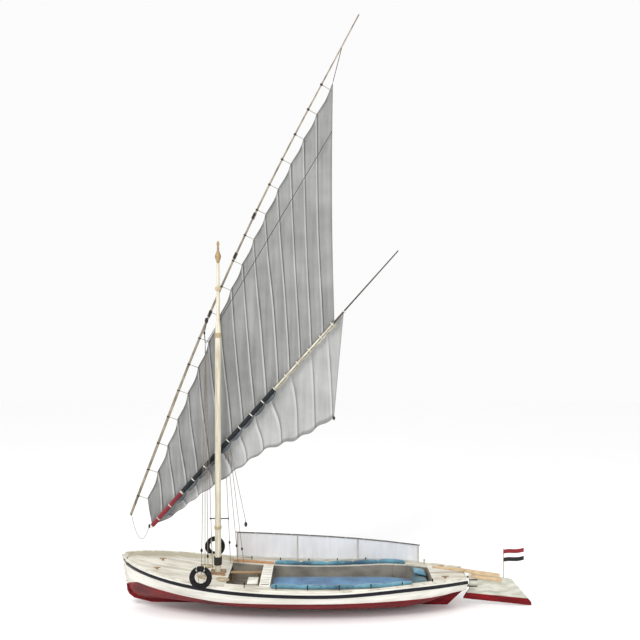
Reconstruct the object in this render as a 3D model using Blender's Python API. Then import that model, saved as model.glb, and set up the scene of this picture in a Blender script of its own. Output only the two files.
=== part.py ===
"""Felucca: an open Nile sailing boat with a lateen yard, a laced sail and a big stern-hung rudder.

Units are metres. +X points to the bow, +Y to port and +Z up.
The origin is amidships on the centreline, at the waterline.
"""
import math

import bmesh
import bpy
from mathutils import Matrix, Vector
from mathutils.bvhtree import BVHTree

# Hull
BOW_X = 4.97
TRANSOM_X = -4.93
HALF_BEAM = 1.60
TRANSOM_HALF_BEAM = 0.55
STEM_HALF_WIDTH = 0.030
KEEL_HALF_WIDTH = 0.028
SHELL = 0.035
STRIPE_LOW_X = -0.90
STRIPE_LOW_Z = 0.28
STRIPE_BOW_RISE = 0.62
STRIPE_STERN_RISE = 0.08
STRIPE_TO_RAIL = 0.12
STRAKE_HEIGHT = 0.075
STRAKE_DEPTH = 0.028
KEEL_FORE_Z = -0.36
KEEL_AFT_Z = -0.435
KEEL_DEPTH = 0.09
KEEL_FORE_X = 4.14
KEEL_AFT_X = -4.43
STERN_RISE_X = -3.30
TRANSOM_FOOT_Z = 0.04
STATIONS = 26
GAP = 0.0003

# Decks and cockpit
DECK_THICK = 0.030
FOREDECK_AFT_X = 1.90
FOREDECK_FORE_X = 4.84
FOREDECK_DROP = 0.12
FOREDECK_CROWN = 0.035
SIDE_DECK_DROP = 0.025
COCKPIT_AFT_X = -3.93
WELL_AFT_X = 0.96
COAMING_Y = 1.05
SIDE_DECK_MIN = 0.30
SIDE_PLAY = 0.004
SOLE_TOP = -0.02
LINING_THICK = 0.022
THWART_WIDTH = 0.30
MATTRESS_TOP = 0.10
PLANK_TOP = 0.40
BOLSTER_WIDTH = 0.20
BOLSTER_HEIGHT = 0.11
BOLSTER_SEAT = 0.0005

# Mast
MAST_X = 2.22
MAST_RADIUS = 0.090
MAST_SHOULDER_Z = 7.60
TOPMAST_RADIUS = 0.046
TOPMAST_TOP_Z = 9.46
MAST_TOP_Z = 10.10
MAST_SIDES = 32
STEP_HEIGHT = 0.08

# Yard, boom and sails, all on the starboard side of the mast
YARD_Y = -0.20
YARD_HEEL = (4.78, 2.15)
YARD_PEAK = (-1.88, 16.75)
YARD_SAG = 0.36
YARD_RADIUS = 0.038
YARD_TIP_RADIUS = 0.018
TIE_COUNT = 17
TIE_RADIUS = 0.009
LUFF_OFFSET = 0.27
SAIL_THICK = 0.020
BOOM_Y = -0.215
BOOM_RADIUS = 0.050
BOOM_TIP_RADIUS = 0.018
BOOM_HEEL = (4.20, 1.76)
BOOM_END = (-3.03, 9.84)
SAIL_Y = BOOM_Y - BOOM_RADIUS - GAP - SAIL_THICK / 2
PEAK_CORNER = (-1.12, 14.80)
LEECH_BOOM = (-1.16, 7.78)
CLEW = (-1.15, 4.93)
FOOT = ((-0.15, 4.34), (0.88, 3.99), (2.05, 3.17), (2.79, 2.67), (3.60, 2.05))
PARREL_Z = 8.72

# Stern gear
RUDDER_AXIS_X = -5.02
RUDDER_HALF = 0.040
PINTLE_RADIUS = 0.014
PINTLE_CLEAR = 0.0005
TILLER_FORE = (-4.00, 0.62)
TILLER_AFT_X = -5.95
FLAGSTAFF_X = -6.06
FLAGSTAFF_RADIUS = 0.010
FLAG_TOP = 1.15
FLAG_LENGTH = 0.58
FLAG_DEPTH = 0.35

# Awning on the starboard side deck
AWNING_FORE = (1.85, 1.29)
AWNING_AFT = (-3.75, 1.02)
AWNING_POST_X = (1.80, -0.05, -1.90, -3.70)
AWNING_STATIONS = (1.85, 0.90, -0.05, -0.98, -1.90, -2.80, -3.75)
AWNING_INSET = 0.08
POLE_RADIUS = 0.016
POST_RADIUS = 0.012

# Tyre fenders
TYRE_X = 2.50
TYRE_Z = 0.82
TYRE_RADIUS = 0.31
TYRE_BORE = 0.165
TYRE_WIDTH = 0.16


def clear_scene():
    for item in list(bpy.data.objects):
        bpy.data.objects.remove(item, do_unlink=True)


def finish(name, colour, roughness=0.6, metallic=0.0):
    made = bpy.data.materials.get(name)
    if made:
        return made
    made = bpy.data.materials.new(name)
    made.use_nodes = True
    shader = made.node_tree.nodes["Principled BSDF"]
    shader.inputs["Base Color"].default_value = (*colour, 1.0)
    shader.inputs["Roughness"].default_value = roughness
    shader.inputs["Metallic"].default_value = metallic
    return made


def white_paint():
    return finish("white_paint", (0.80, 0.79, 0.72))


def navy_paint():
    return finish("navy_paint", (0.015, 0.02, 0.05))


def red_paint():
    return finish("red_paint", (0.30, 0.02, 0.03))


def bare_wood():
    return finish("bare_wood", (0.42, 0.30, 0.18), 0.75)


def grey_boards():
    return finish("grey_boards", (0.33, 0.30, 0.26), 0.8)


def pale_spar():
    return finish("pale_spar", (0.62, 0.55, 0.40), 0.65)


def sail_cloth():
    return finish("sail_cloth", (0.55, 0.55, 0.56), 0.9)


def blue_cloth():
    return finish("blue_cloth", (0.16, 0.33, 0.52), 0.9)


def teal_cloth():
    return finish("teal_cloth", (0.12, 0.40, 0.45), 0.9)


def black_rubber():
    return finish("black_rubber", (0.015, 0.015, 0.016), 0.8)


def dark_iron():
    return finish("dark_iron", (0.05, 0.05, 0.055), 0.5, 1.0)


def place(name, mesh, material, origin=(0.0, 0.0, 0.0)):
    """Store a mesh as a named object whose origin lies at the given point."""
    mesh.transform(Matrix.Translation(-Vector(origin)))
    mesh.materials.clear()
    mesh.materials.append(material)
    made = bpy.data.objects.new(name, mesh)
    made.location = origin
    bpy.context.scene.collection.objects.link(made)
    return made


def mesh_from(points, faces):
    mesh = bpy.data.meshes.new("shape")
    mesh.from_pydata([tuple(point) for point in points], [], faces)
    work = bmesh.new()
    work.from_mesh(mesh)
    bmesh.ops.recalc_face_normals(work, faces=work.faces)
    if work.calc_volume(signed=True) < 0:
        bmesh.ops.reverse_faces(work, faces=work.faces)
    work.to_mesh(mesh)
    work.free()
    return mesh


def combine(first, second, operation):
    """Return the EXACT Boolean of two meshes as a new mesh."""
    body = bpy.data.objects.new("body", first)
    tool = bpy.data.objects.new("tool", second)
    collection = bpy.context.scene.collection
    collection.objects.link(body)
    collection.objects.link(tool)
    cut = body.modifiers.new("cut", "BOOLEAN")
    cut.operation = operation
    cut.solver = "EXACT"
    cut.object = tool
    bpy.context.view_layer.update()
    seen = body.evaluated_get(bpy.context.evaluated_depsgraph_get())
    result = bpy.data.meshes.new_from_object(seen)
    bpy.data.objects.remove(body, do_unlink=True)
    bpy.data.objects.remove(tool, do_unlink=True)
    return result


def halves(corners):
    """Two triangles of a four-cornered face, always cut from its first corner."""
    a, b, c, d = corners
    return [(a, b, c), (a, c, d)]


def end_strips(first, count):
    """Close a symmetric end section with quads from side to side, so that a curved end stays curved."""
    last = first + count - 1
    return [(first + k, first + k + 1, last - k - 1, last - k) for k in range(count // 2 - 1)]


def loft(sections, split=False):
    """Skin closed sections with equal point counts and cap both ends; split suits hull sections."""
    count = len(sections[0])
    points = [point for section in sections for point in section]
    faces = []
    for row in range(len(sections) - 1):
        for col in range(count):
            after = (col + 1) % count
            low = row * count
            high = low + count
            corners = (low + col, low + after, high + after, high + col)
            faces.extend(halves(corners) if split else [corners])
    final = len(points) - count
    if split:
        faces.extend(end_strips(0, count) + end_strips(final, count))
    else:
        faces.extend([tuple(range(count)), tuple(range(final, len(points)))])
    return mesh_from(points, faces)


def box(x0, x1, y0, y1, z0, z1):
    corners = ((y0, z0), (y1, z0), (y1, z1), (y0, z1))
    return loft([[(x, y, z) for y, z in corners] for x in (x0, x1)])


def plate(outline, y0, y1):
    """Extrude an outline given in the XZ plane between two Y values."""
    return loft([[(x, y, z) for x, z in outline] for y in (y0, y1)])


def ring(centre, direction, radius, sides):
    """Points of a circle around a centre, square to a direction."""
    axis = Vector(direction).normalized()
    side = axis.cross(Vector((0.0, 1.0, 0.0)))
    if side.length < 0.1:
        side = axis.cross(Vector((1.0, 0.0, 0.0)))
    side.normalize()
    up = axis.cross(side)
    steps = [2.0 * math.pi * (k + 0.5) / sides for k in range(sides)]
    return [Vector(centre) + radius * (math.cos(a) * side + math.sin(a) * up) for a in steps]


def rod(start, end, radius, sides=8, end_radius=None):
    direction = Vector(end) - Vector(start)
    last = radius if end_radius is None else end_radius
    return loft([ring(start, direction, radius, sides), ring(end, direction, last, sides)])


def turned(profile, x, y, sides):
    """Solid of revolution about a vertical line, from (radius, z) pairs."""
    return loft([ring((x, y, z), (0, 0, 1), radius, sides) for radius, z in profile])


def bend(points, radii, sides):
    """Round spar through a list of points, with a radius at each."""
    sections = []
    for k, point in enumerate(points):
        before = Vector(points[max(k - 1, 0)])
        after = Vector(points[min(k + 1, len(points) - 1)])
        sections.append(ring(point, after - before, radii[k], sides))
    return loft(sections)


def smooth(value):
    value = min(max(value, 0.0), 1.0)
    return value * value * (3.0 - 2.0 * value)


def stripe_z(x):
    """Height of the sheer strake's middle line."""
    if x >= STRIPE_LOW_X:
        return STRIPE_LOW_Z + STRIPE_BOW_RISE * ((x - STRIPE_LOW_X) / (BOW_X - STRIPE_LOW_X)) ** 2.2
    return STRIPE_LOW_Z + STRIPE_STERN_RISE * smooth((STRIPE_LOW_X - x) / 2.6)


def rail_z(x):
    return stripe_z(x) + STRIPE_TO_RAIL


def half_breadth(x):
    """Half-beam at the rail."""
    if x >= 0.0:
        share = max(1.0 - (x / BOW_X) ** 3.2, 0.0) ** 0.65
        return STEM_HALF_WIDTH + (HALF_BEAM - STEM_HALF_WIDTH) * share
    share = 1.0 - (x / TRANSOM_X) ** 2.4
    return TRANSOM_HALF_BEAM + (HALF_BEAM - TRANSOM_HALF_BEAM) * share


def keel_foot_z(x):
    """Straight bottom edge of the keel."""
    share = (KEEL_FORE_X - x) / (KEEL_FORE_X - KEEL_AFT_X)
    return KEEL_FORE_Z + (KEEL_AFT_Z - KEEL_FORE_Z) * share


def bottom_z(x):
    """Lowest line of the planking, where it meets the keel."""
    level = keel_foot_z(x) + KEEL_DEPTH
    rise = smooth((STERN_RISE_X - x) / (STERN_RISE_X - TRANSOM_X))
    return level + (TRANSOM_FOOT_Z - level) * rise


def stem_x(z):
    """Outline of the stem where the planking ends: a raked upper run and a rounded forefoot."""
    foot = bottom_z(KEEL_FORE_X)
    knee = 0.15
    if z >= knee:
        return 4.80 + (BOW_X - 4.80) * (z - knee) / (rail_z(BOW_X) - knee)
    drop = (knee - z) / (knee - foot)
    return KEEL_FORE_X + (4.80 - KEEL_FORE_X) * max(1.0 - drop ** 2.4, 0.0) ** 0.6


ROWS = (0.0, 0.02, 0.07, 0.16, 0.30, 0.48, 0.72, 1.0)


def row_shares(x):
    """Height shares of the planking's rows: seven up to the strake, then its two edges and the rail."""
    low = bottom_z(min(x, KEEL_FORE_X))
    high = rail_z(x)
    lower = stripe_z(x) - STRAKE_HEIGHT / 2
    upper = stripe_z(x) + STRAKE_HEIGHT / 2
    below = [share * (lower - low) / (high - low) for share in ROWS]
    return below + [(upper - low) / (high - low), 1.0]


def section_point(along, share, inset):
    """Port-side point of the planking; along runs from 0 at the transom to 1 at the stem."""
    bow_z = bottom_z(KEEL_FORE_X) + (rail_z(BOW_X) - bottom_z(KEEL_FORE_X)) * share
    end_x = stem_x(bow_z) - inset * 3.0
    start_x = TRANSOM_X + inset
    x = start_x + (end_x - start_x) * along
    keel_x = start_x + (KEEL_FORE_X - inset - start_x) * along
    rail_x = start_x + (BOW_X - 3.0 * inset - start_x) * along
    fullness = 0.72 + 0.75 * smooth((along - 0.55) / 0.45) + 0.18 * smooth((0.30 - along) / 0.3)
    lift = 1.15 - 0.25 * smooth((along - 0.6) / 0.4)
    angle = math.acos(1.0 - share ** (1.0 / lift))
    width = max(half_breadth(rail_x) - STEM_HALF_WIDTH - inset, 0.0)
    y = STEM_HALF_WIDTH + width * math.sin(angle) ** fullness
    low = bottom_z(keel_x) + inset
    z = low + (rail_z(rail_x) - low) * share
    return Vector((x, y, z))


def station_row(index, inset):
    """Port half of one planking section, from the keel up to the rail."""
    along = index / STATIONS
    along = 1.0 - (1.0 - along) ** 1.25
    rail_x = TRANSOM_X + (BOW_X - TRANSOM_X) * along
    return [section_point(along, share, inset) for share in row_shares(rail_x)]


def full_section(index, inset):
    half = station_row(index, inset)
    port = list(reversed(half))
    starboard = [Vector((p.x, -p.y, p.z)) for p in half]
    return port + starboard


def hull_shell_mesh():
    """Hollow planked hull with an open top: outer skin, inner skin, rail and closed ends."""
    outer = [full_section(k, 0.0) for k in range(STATIONS + 1)]
    inner = [full_section(k, SHELL) for k in range(STATIONS + 1)]
    count = len(outer[0])
    points = [p for s in outer for p in s] + [p for s in inner for p in s]
    shift = len(outer) * count
    faces = []
    for base in (0, shift):
        for row in range(STATIONS):
            for col in range(count - 1):
                low = base + row * count + col
                faces.extend(halves((low, low + 1, low + count + 1, low + count)))
        faces.extend(end_strips(base, count) + end_strips(base + STATIONS * count, count))
    for row in range(STATIONS):
        for col in (0, count - 1):
            low = row * count + col
            faces.append((low, low + count, low + count + shift, low + shift))
    for row in (0, STATIONS):
        first = row * count
        last = first + count - 1
        faces.append((first, last, last + shift, first + shift))
    return mesh_from(points, faces)


def interior_mould(clearance):
    """Closed space inside the planking, a hair smaller, carried up past the rail."""
    return loft([full_section(k, SHELL + clearance) for k in range(STATIONS + 1)], split=True)


def fitted(slab, clearance=GAP):
    """Trim a slab to the inside of the planking."""
    return combine(slab, interior_mould(clearance), "INTERSECT")


def deck_stations(x0, x1):
    """Lengthwise places where a deck's straight runs meet."""
    steps = max(int((x1 - x0) / 0.35), 2)
    return [x0 + (x1 - x0) * k / steps for k in range(steps + 1)]


def side_deck_stations():
    return deck_stations(COCKPIT_AFT_X + GAP, FOREDECK_AFT_X - GAP)


def along_runs(height, x):
    """Value of a curve read on the side deck's straight runs between its stations."""
    places = side_deck_stations()
    x = min(max(x, places[0]), places[-1])
    for before, after in zip(places, places[1:]):
        if x <= after:
            break
    share = (x - before) / (after - before)
    return (1.0 - share) * height(before) + share * height(after)


def side_deck_top(x):
    return along_runs(rail_z, x) - SIDE_DECK_DROP


def coaming_curve(x):
    return min(COAMING_Y, half_breadth(x) - SIDE_DECK_MIN)


def coaming(x):
    """Half-width of the cockpit between its linings."""
    return along_runs(coaming_curve, x)


def runs_between(x0, x1):
    """Both ends of a stretch, with the deck's stations that lie between them."""
    return [x0] + [x for x in side_deck_stations() if x0 + 0.01 < x < x1 - 0.01] + [x1]


def deck_slab(x0, x1, y0, y1, drop, crown=0.0):
    """Deck that follows the rail's sweep, with an optional crown across."""
    across = [y0 + (y1 - y0) * k / 4 for k in range(5)]
    sections = []
    for x in deck_stations(x0, x1):
        top = rail_z(x) - drop
        lifts = [top + crown * (1.0 - (y / HALF_BEAM) ** 2) for y in across]
        upper = [(x, y, z) for y, z in zip(across, lifts)]
        lower = [(x, y, z - DECK_THICK) for y, z in zip(across, lifts)]
        sections.append(upper + list(reversed(lower)))
    return loft(sections)


def side_deck_slab(side, span):
    """Side deck between the cockpit's lining and the planking, wider than it will be."""
    sections = []
    for x in side_deck_stations():
        top = side_deck_top(x)
        inner = side * coaming(x)
        outer = side * span
        low = top - DECK_THICK
        sections.append([(x, inner, top), (x, outer, top), (x, outer, low), (x, inner, low)])
    return loft(sections)


def strake_mesh(side):
    """Painted rubbing strake along one side, bearing on the planking row by row."""
    sections = []
    for k in range(STATIONS):
        here = station_row(k, 0.0)
        after = station_row(k + 1, 0.0)
        low = here[7]
        high = here[8]
        run = after[8] - high
        run.z = 0.0
        out = Vector((0.0, 0.0, 1.0)).cross(run).normalized()
        if out.y < 0:
            out = -out
        back = 0.01 * out
        front = STRAKE_DEPTH * out
        four = [low - back, low + front, high + front, high - back]
        sections.append([Vector((p.x, side * p.y, p.z)) for p in four])
    return combine(loft(sections), clearance_hull(), "DIFFERENCE")


def keel_mesh():
    """Stem, keel and deadwood as one bar under and ahead of the planking."""
    outer = []
    inner = []
    rises = 12
    head = rail_z(BOW_X)
    foot = bottom_z(KEEL_FORE_X)
    for k in range(rises + 1):
        z = head + (foot - head) * k / rises
        inner.append((stem_x(z) + GAP, z))
        outer.append((stem_x(z) + 0.035 + 0.03 * k / rises, z - 0.07 * smooth(k / rises)))
    for k in range(1, 15):
        x = KEEL_FORE_X + (TRANSOM_X - KEEL_FORE_X) * k / 14
        inner.append((x, bottom_z(x) - GAP))
    outer = [point for point in outer if point[1] > keel_foot_z(KEEL_FORE_X) + 0.002]
    outer.append((KEEL_FORE_X, keel_foot_z(KEEL_FORE_X)))
    outer.append((KEEL_AFT_X, keel_foot_z(KEEL_AFT_X)))
    outer.append((TRANSOM_X, bottom_z(TRANSOM_X) - 0.012))
    outline = outer + list(reversed(inner))
    bar = plate(outline, -KEEL_HALF_WIDTH, KEEL_HALF_WIDTH)
    return combine(bar, clearance_hull(), "DIFFERENCE")


def clearance_hull():
    """Planking's outer form grown by the seating gap, for trimming the keel to it."""
    return loft([full_section(k, -GAP) for k in range(STATIONS + 1)], split=True)


def build_hull():
    place("hull_shell", hull_shell_mesh(), white_paint())
    place("stem_and_keel", keel_mesh(), red_paint())
    place("sheer_strake_port", strake_mesh(1), navy_paint())
    place("sheer_strake_starboard", strake_mesh(-1), navy_paint())


def build_decks():
    span = HALF_BEAM + 0.2
    fore = deck_slab(FOREDECK_AFT_X, FOREDECK_FORE_X, -span, span, FOREDECK_DROP, FOREDECK_CROWN)
    fore = fitted(fore, 2 * GAP)
    tip = [(FOREDECK_FORE_X + 0.01, -0.24), (FOREDECK_FORE_X + 0.01, 0.24), (4.82, 0.28), (4.79, 0.36),
           (FOREDECK_AFT_X - 0.1, 2.4), (FOREDECK_AFT_X - 0.1, -2.4), (4.79, -0.36), (4.82, -0.28)]
    fore = combine(fore, loft([[(x, y, z) for x, y in tip] for z in (0.2, 1.5)]), "INTERSECT")
    hole = turned([(MAST_RADIUS + GAP, -0.2), (MAST_RADIUS + GAP, 1.5)], MAST_X, 0.0, MAST_SIDES)
    place("foredeck", combine(fore, hole, "DIFFERENCE"), white_paint())
    aft = deck_slab(TRANSOM_X, COCKPIT_AFT_X, -span, span, SIDE_DECK_DROP, 0.015)
    place("aft_deck", fitted(aft), white_paint())
    for side, word in ((1, "port"), (-1, "starboard")):
        place("side_deck_" + word, fitted(side_deck_slab(side, span)), white_paint())
    sole = box(COCKPIT_AFT_X + GAP, 2.80, -span, span, SOLE_TOP - DECK_THICK, SOLE_TOP)
    place("cockpit_sole", fitted(sole), grey_boards())


def lining_mesh(side):
    """Upright inner wall from the sole to the underside of the side deck."""
    sections = []
    for x in runs_between(COCKPIT_AFT_X + 2 * GAP + LINING_THICK, FOREDECK_AFT_X - GAP):
        inner = side * coaming(x)
        outer = inner + side * LINING_THICK
        foot = SOLE_TOP + GAP
        top = side_deck_top(x) - DECK_THICK - GAP
        sections.append([(x, inner, foot), (x, outer, foot), (x, outer, top), (x, inner, top)])
    return fitted(loft(sections))


def cockpit_pad(x0, x1, low, high):
    """Flat-topped pad that fills the cockpit from lining to lining."""
    sections = []
    for x in runs_between(x0, x1):
        y = coaming(x) - SIDE_PLAY
        sections.append([(x, -y, low), (x, y, low), (x, y, high), (x, -y, high)])
    return loft(sections)


def slatted_thwart_mesh():
    """White slatted crossing between the well and the cushions: two rails with slats on them."""
    rail_width = 0.035
    x1 = WELL_AFT_X
    x0 = x1 - THWART_WIDTH
    y1 = COAMING_Y - GAP
    z1 = side_deck_top(x0)
    body = box(x0, x1, -y1, y1, z1 - 0.045, z1)
    slots = 9
    pitch = (2 * y1 - rail_width) / slots
    for k in range(slots):
        y0 = -y1 + rail_width + k * pitch
        gap = box(x0 + rail_width, x1 - rail_width, y0, y0 + pitch * 0.42, z1 - 0.1, z1 + 0.1)
        body = combine(body, gap, "DIFFERENCE")
    return body


def bolster_mesh(side, x0, x1, parts):
    """Row of stuffed bolsters sewn end to end, pinched where they meet."""
    steps = parts * 6
    evenly = [x0 + (x1 - x0) * k / steps for k in range(steps + 1)]
    joints = [x for x in side_deck_stations() if x0 < x < x1 and min(abs(x - e) for e in evenly) > 0.004]
    sections = []
    for x in sorted(evenly + joints):
        pinch = abs(math.sin(math.pi * parts * (x - x0) / (x1 - x0))) ** 0.5
        half = BOLSTER_WIDTH / 2 * (0.62 + 0.38 * pinch)
        height = BOLSTER_HEIGHT * (0.70 + 0.30 * pinch)
        floor = side_deck_top(x) + BOLSTER_SEAT
        outline = ((-1, 0.0), (1, 0.0), (1.0, 0.55), (0.72, 0.9), (0.0, 1.0), (-0.72, 0.9), (-1.0, 0.55))
        y = coaming(x) + BOLSTER_WIDTH / 2 + 0.01
        sections.append([(x, side * (y + half * a), floor + height * b) for a, b in outline])
    return loft(sections)


def build_cockpit():
    for side, word in ((1, "port"), (-1, "starboard")):
        place("side_lining_" + word, lining_mesh(side), grey_boards())
        place("bolster_" + word, bolster_mesh(side, -3.30, 0.62, 5), teal_cloth())
    top = rail_z(COCKPIT_AFT_X) - SIDE_DECK_DROP - DECK_THICK - 0.003
    wall_x = COCKPIT_AFT_X + GAP
    wall = box(wall_x, wall_x + LINING_THICK, -COAMING_Y, COAMING_Y, SOLE_TOP + GAP, top)
    place("aft_bulkhead", fitted(wall), grey_boards())
    place("slatted_thwart", slatted_thwart_mesh(), white_paint())
    mattress = cockpit_pad(-3.45, WELL_AFT_X - THWART_WIDTH, SOLE_TOP + GAP, MATTRESS_TOP)
    place("mattress", mattress, blue_cloth())
    slope = plate([(-3.90, SOLE_TOP + GAP), (-3.46, SOLE_TOP + GAP), (-3.46, 0.20), (-3.58, 0.32),
                   (-3.90, 0.34)], -COAMING_Y, COAMING_Y)
    pad = cockpit_pad(-3.89, -3.46, SOLE_TOP + GAP, 0.34)
    place("bolster_aft", fitted(combine(pad, slope, "INTERSECT")), teal_cloth())
    plank_z = PLANK_TOP - 0.03
    plank = box(WELL_AFT_X + GAP, FOREDECK_AFT_X - 0.01, -0.45, -0.25, plank_z, plank_z + 0.03)
    legs = box(WELL_AFT_X + 0.06, WELL_AFT_X + 0.12, -0.40, -0.30, SOLE_TOP + GAP, plank_z + 0.01)
    plank = combine(plank, legs, "UNION")
    legs = box(FOREDECK_AFT_X - 0.10, FOREDECK_AFT_X - 0.04, -0.40, -0.30, SOLE_TOP + GAP, plank_z + 0.01)
    place("centre_plank", combine(plank, legs, "UNION"), bare_wood())
    place("stowage_box", box(1.06, 1.34, -0.20, 0.42, SOLE_TOP + GAP, 0.27), white_paint())


def build_mast():
    step = box(MAST_X - 0.20, MAST_X + 0.20, -0.14, 0.14, SOLE_TOP + GAP, SOLE_TOP + STEP_HEIGHT)
    place("mast_step", step, bare_wood())
    profile = [(MAST_RADIUS, SOLE_TOP + STEP_HEIGHT + GAP), (MAST_RADIUS, 3.0),
               (MAST_RADIUS * 0.96, MAST_SHOULDER_Z - 0.3), (MAST_RADIUS * 0.90, MAST_SHOULDER_Z),
               (TOPMAST_RADIUS * 1.15, MAST_SHOULDER_Z + 0.18), (TOPMAST_RADIUS, TOPMAST_TOP_Z)]
    place("mast", turned(profile, MAST_X, 0.0, MAST_SIDES), pale_spar())
    low = TOPMAST_TOP_Z + GAP
    knob = [(0.040, low), (0.052, low + 0.06), (0.085, low + 0.15), (0.090, low + 0.20), (0.060, low + 0.30),
            (0.034, low + 0.36), (0.030, low + 0.50), (0.045, low + 0.56), (0.020, MAST_TOP_Z)]
    place("masthead_cap", turned(knob, MAST_X, 0.0, 12), bare_wood())


def yard_point(share):
    """Point on the yard's bent centreline, from the heel at 0 to the peak at 1."""
    x = YARD_HEEL[0] + (YARD_PEAK[0] - YARD_HEEL[0]) * share
    z = YARD_HEEL[1] + (YARD_PEAK[1] - YARD_HEEL[1]) * share
    bow = YARD_SAG * math.sin(math.pi * share) ** 1.1 if 0.0 < share < 1.0 else 0.0
    length = math.hypot(YARD_PEAK[0] - YARD_HEEL[0], YARD_PEAK[1] - YARD_HEEL[1])
    across = ((YARD_PEAK[1] - YARD_HEEL[1]) / length, -(YARD_PEAK[0] - YARD_HEEL[0]) / length)
    return x + bow * across[0], z + bow * across[1]


def luff_point(share, offset=LUFF_OFFSET):
    """Point of the sail's laced edge, square off the yard towards the stern."""
    x, z = yard_point(share)
    before = yard_point(max(share - 0.01, 0.0))
    after = yard_point(min(share + 0.01, 1.0))
    run = Vector((after[0] - before[0], after[1] - before[1])).normalized()
    return x - run.y * offset, z + run.x * offset


def tie_shares():
    """Places of the lacing ties along the yard."""
    return [0.035 + (0.855 - 0.035) * k / (TIE_COUNT - 1) for k in range(TIE_COUNT)]


def yard_mesh():
    """Bent yard with its lacing ties, each reaching over the edge of the sail."""
    shares = [k / 14 for k in range(15)]
    points = []
    radii = []
    for share in shares:
        x, z = yard_point(share)
        points.append((x, YARD_Y, z))
        radii.append(YARD_RADIUS + (YARD_TIP_RADIUS - YARD_RADIUS) * max(share - 0.25, 0.0) / 0.75)
    body = bend(points, radii, 10)
    lap_y = SAIL_Y + SAIL_THICK / 2 + TIE_RADIUS + 0.0005
    for share in tie_shares():
        x, z = yard_point(share)
        end_x, end_z = luff_point(share, LUFF_OFFSET + 0.06)
        tie = rod((x, YARD_Y, z), (end_x, lap_y, end_z), TIE_RADIUS, 6)
        body = combine(body, tie, "UNION")
    return body


def boom_at(share):
    """Point on the boom's straight centreline."""
    x = BOOM_HEEL[0] + (BOOM_END[0] - BOOM_HEEL[0]) * share
    z = BOOM_HEEL[1] + (BOOM_END[1] - BOOM_HEEL[1]) * share
    return x, z


def boom_mesh():
    shares = (0.0, 0.25, 0.5, 0.75, 1.0)
    points = [(boom_at(s)[0], BOOM_Y, boom_at(s)[1]) for s in shares]
    radii = [BOOM_RADIUS, BOOM_RADIUS, 0.046, 0.034, BOOM_TIP_RADIUS]
    return bend(points, radii, 10)


def sail_upper_mesh():
    """Sail between the yard and the boom; its lower edge ends just under the boom's centreline."""
    luff = [luff_point(0.035 + (0.855 - 0.035) * k / 12) for k in range(13)]
    outline = luff + [PEAK_CORNER, LEECH_BOOM, boom_below(0.5), boom_below(0.0)]
    return plate(outline, SAIL_Y - SAIL_THICK / 2, SAIL_Y + SAIL_THICK / 2)


def boom_below(share, drop=0.0):
    x, z = boom_at(share)
    return x, z - drop


def sail_lower_mesh():
    """Skirt of the sail that hangs below the boom."""
    heel = boom_below(0.0, 0.001)
    top = [heel, boom_below(0.5, 0.001), (LEECH_BOOM[0], LEECH_BOOM[1] - 0.001), (-1.45, 7.80)]
    outline = top + [CLEW] + list(FOOT)
    return plate(outline, SAIL_Y - SAIL_THICK / 2, SAIL_Y + SAIL_THICK / 2)


def topmast_radius(z):
    """Radius of the topmast's slow taper."""
    foot = MAST_SHOULDER_Z + 0.18
    share = (z - foot) / (TOPMAST_TOP_Z - foot)
    return TOPMAST_RADIUS * (1.15 - 0.15 * share)


def parrel_mesh():
    """Rope collar round the mast that holds the yard to it, with its arm against the yard."""
    low = PARREL_Z - 0.05
    inner = (topmast_radius(low) + 0.0005) / math.cos(math.pi / MAST_SIDES)
    outer = inner + 0.035
    collar = turned([(outer, low), (outer, low + 0.10)], MAST_X, 0.0, MAST_SIDES)
    arm = box(MAST_X - 0.03, MAST_X + 0.03, YARD_Y, 0.0, low + 0.02, low + 0.08)
    collar = combine(collar, arm, "UNION")
    bore = turned([(inner, low - 0.1), (inner, low + 0.3)], MAST_X, 0.0, MAST_SIDES)
    collar = combine(collar, bore, "DIFFERENCE")
    shares = [k / 14 for k in range(15)]
    points = []
    radii = []
    for share in shares:
        x, z = yard_point(share)
        points.append((x, YARD_Y, z))
        radii.append(GAP * 1.5 + YARD_RADIUS + (YARD_TIP_RADIUS - YARD_RADIUS) * max(share - 0.25, 0.0) / 0.75)
    return combine(collar, bend(points, radii, 10), "DIFFERENCE")


def build_rig():
    pivot = (MAST_X, 0.0, PARREL_Z)
    place("yard", yard_mesh(), bare_wood(), pivot)
    place("parrel_collar", parrel_mesh(), pale_spar(), pivot)
    place("boom", boom_mesh(), pale_spar(), pivot)
    place("sail_upper", sail_upper_mesh(), sail_cloth(), pivot)
    place("sail_lower", sail_lower_mesh(), sail_cloth(), pivot)


def gudgeon_mesh(z):
    """Iron eye bolted to the transom; the pintle drops through it."""
    strap = box(RUDDER_AXIS_X, TRANSOM_X - GAP, -0.03, 0.03, z, z + 0.04)
    eye = turned([(0.034, z), (0.034, z + 0.04)], RUDDER_AXIS_X, 0.0, 12)
    eye = combine(strap, eye, "UNION")
    bore_r = PINTLE_RADIUS + PINTLE_CLEAR
    bore = turned([(bore_r, z - 0.1), (bore_r, z + 0.1)], RUDDER_AXIS_X, 0.0, 12)
    return combine(eye, bore, "DIFFERENCE")


GUDGEON_Z = (0.08, 0.34)


def rudder_outline():
    """Long felucca rudder: deep aft, with a raked after edge and a top at deck height."""
    front = RUDDER_AXIS_X - 0.045
    return ((front, 0.47), (front, 0.0), (front + 0.10, -0.12), (front + 0.17, -0.25), (-6.86, -0.45),
            (-6.86, -0.36), (-6.30, 0.29))


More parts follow.
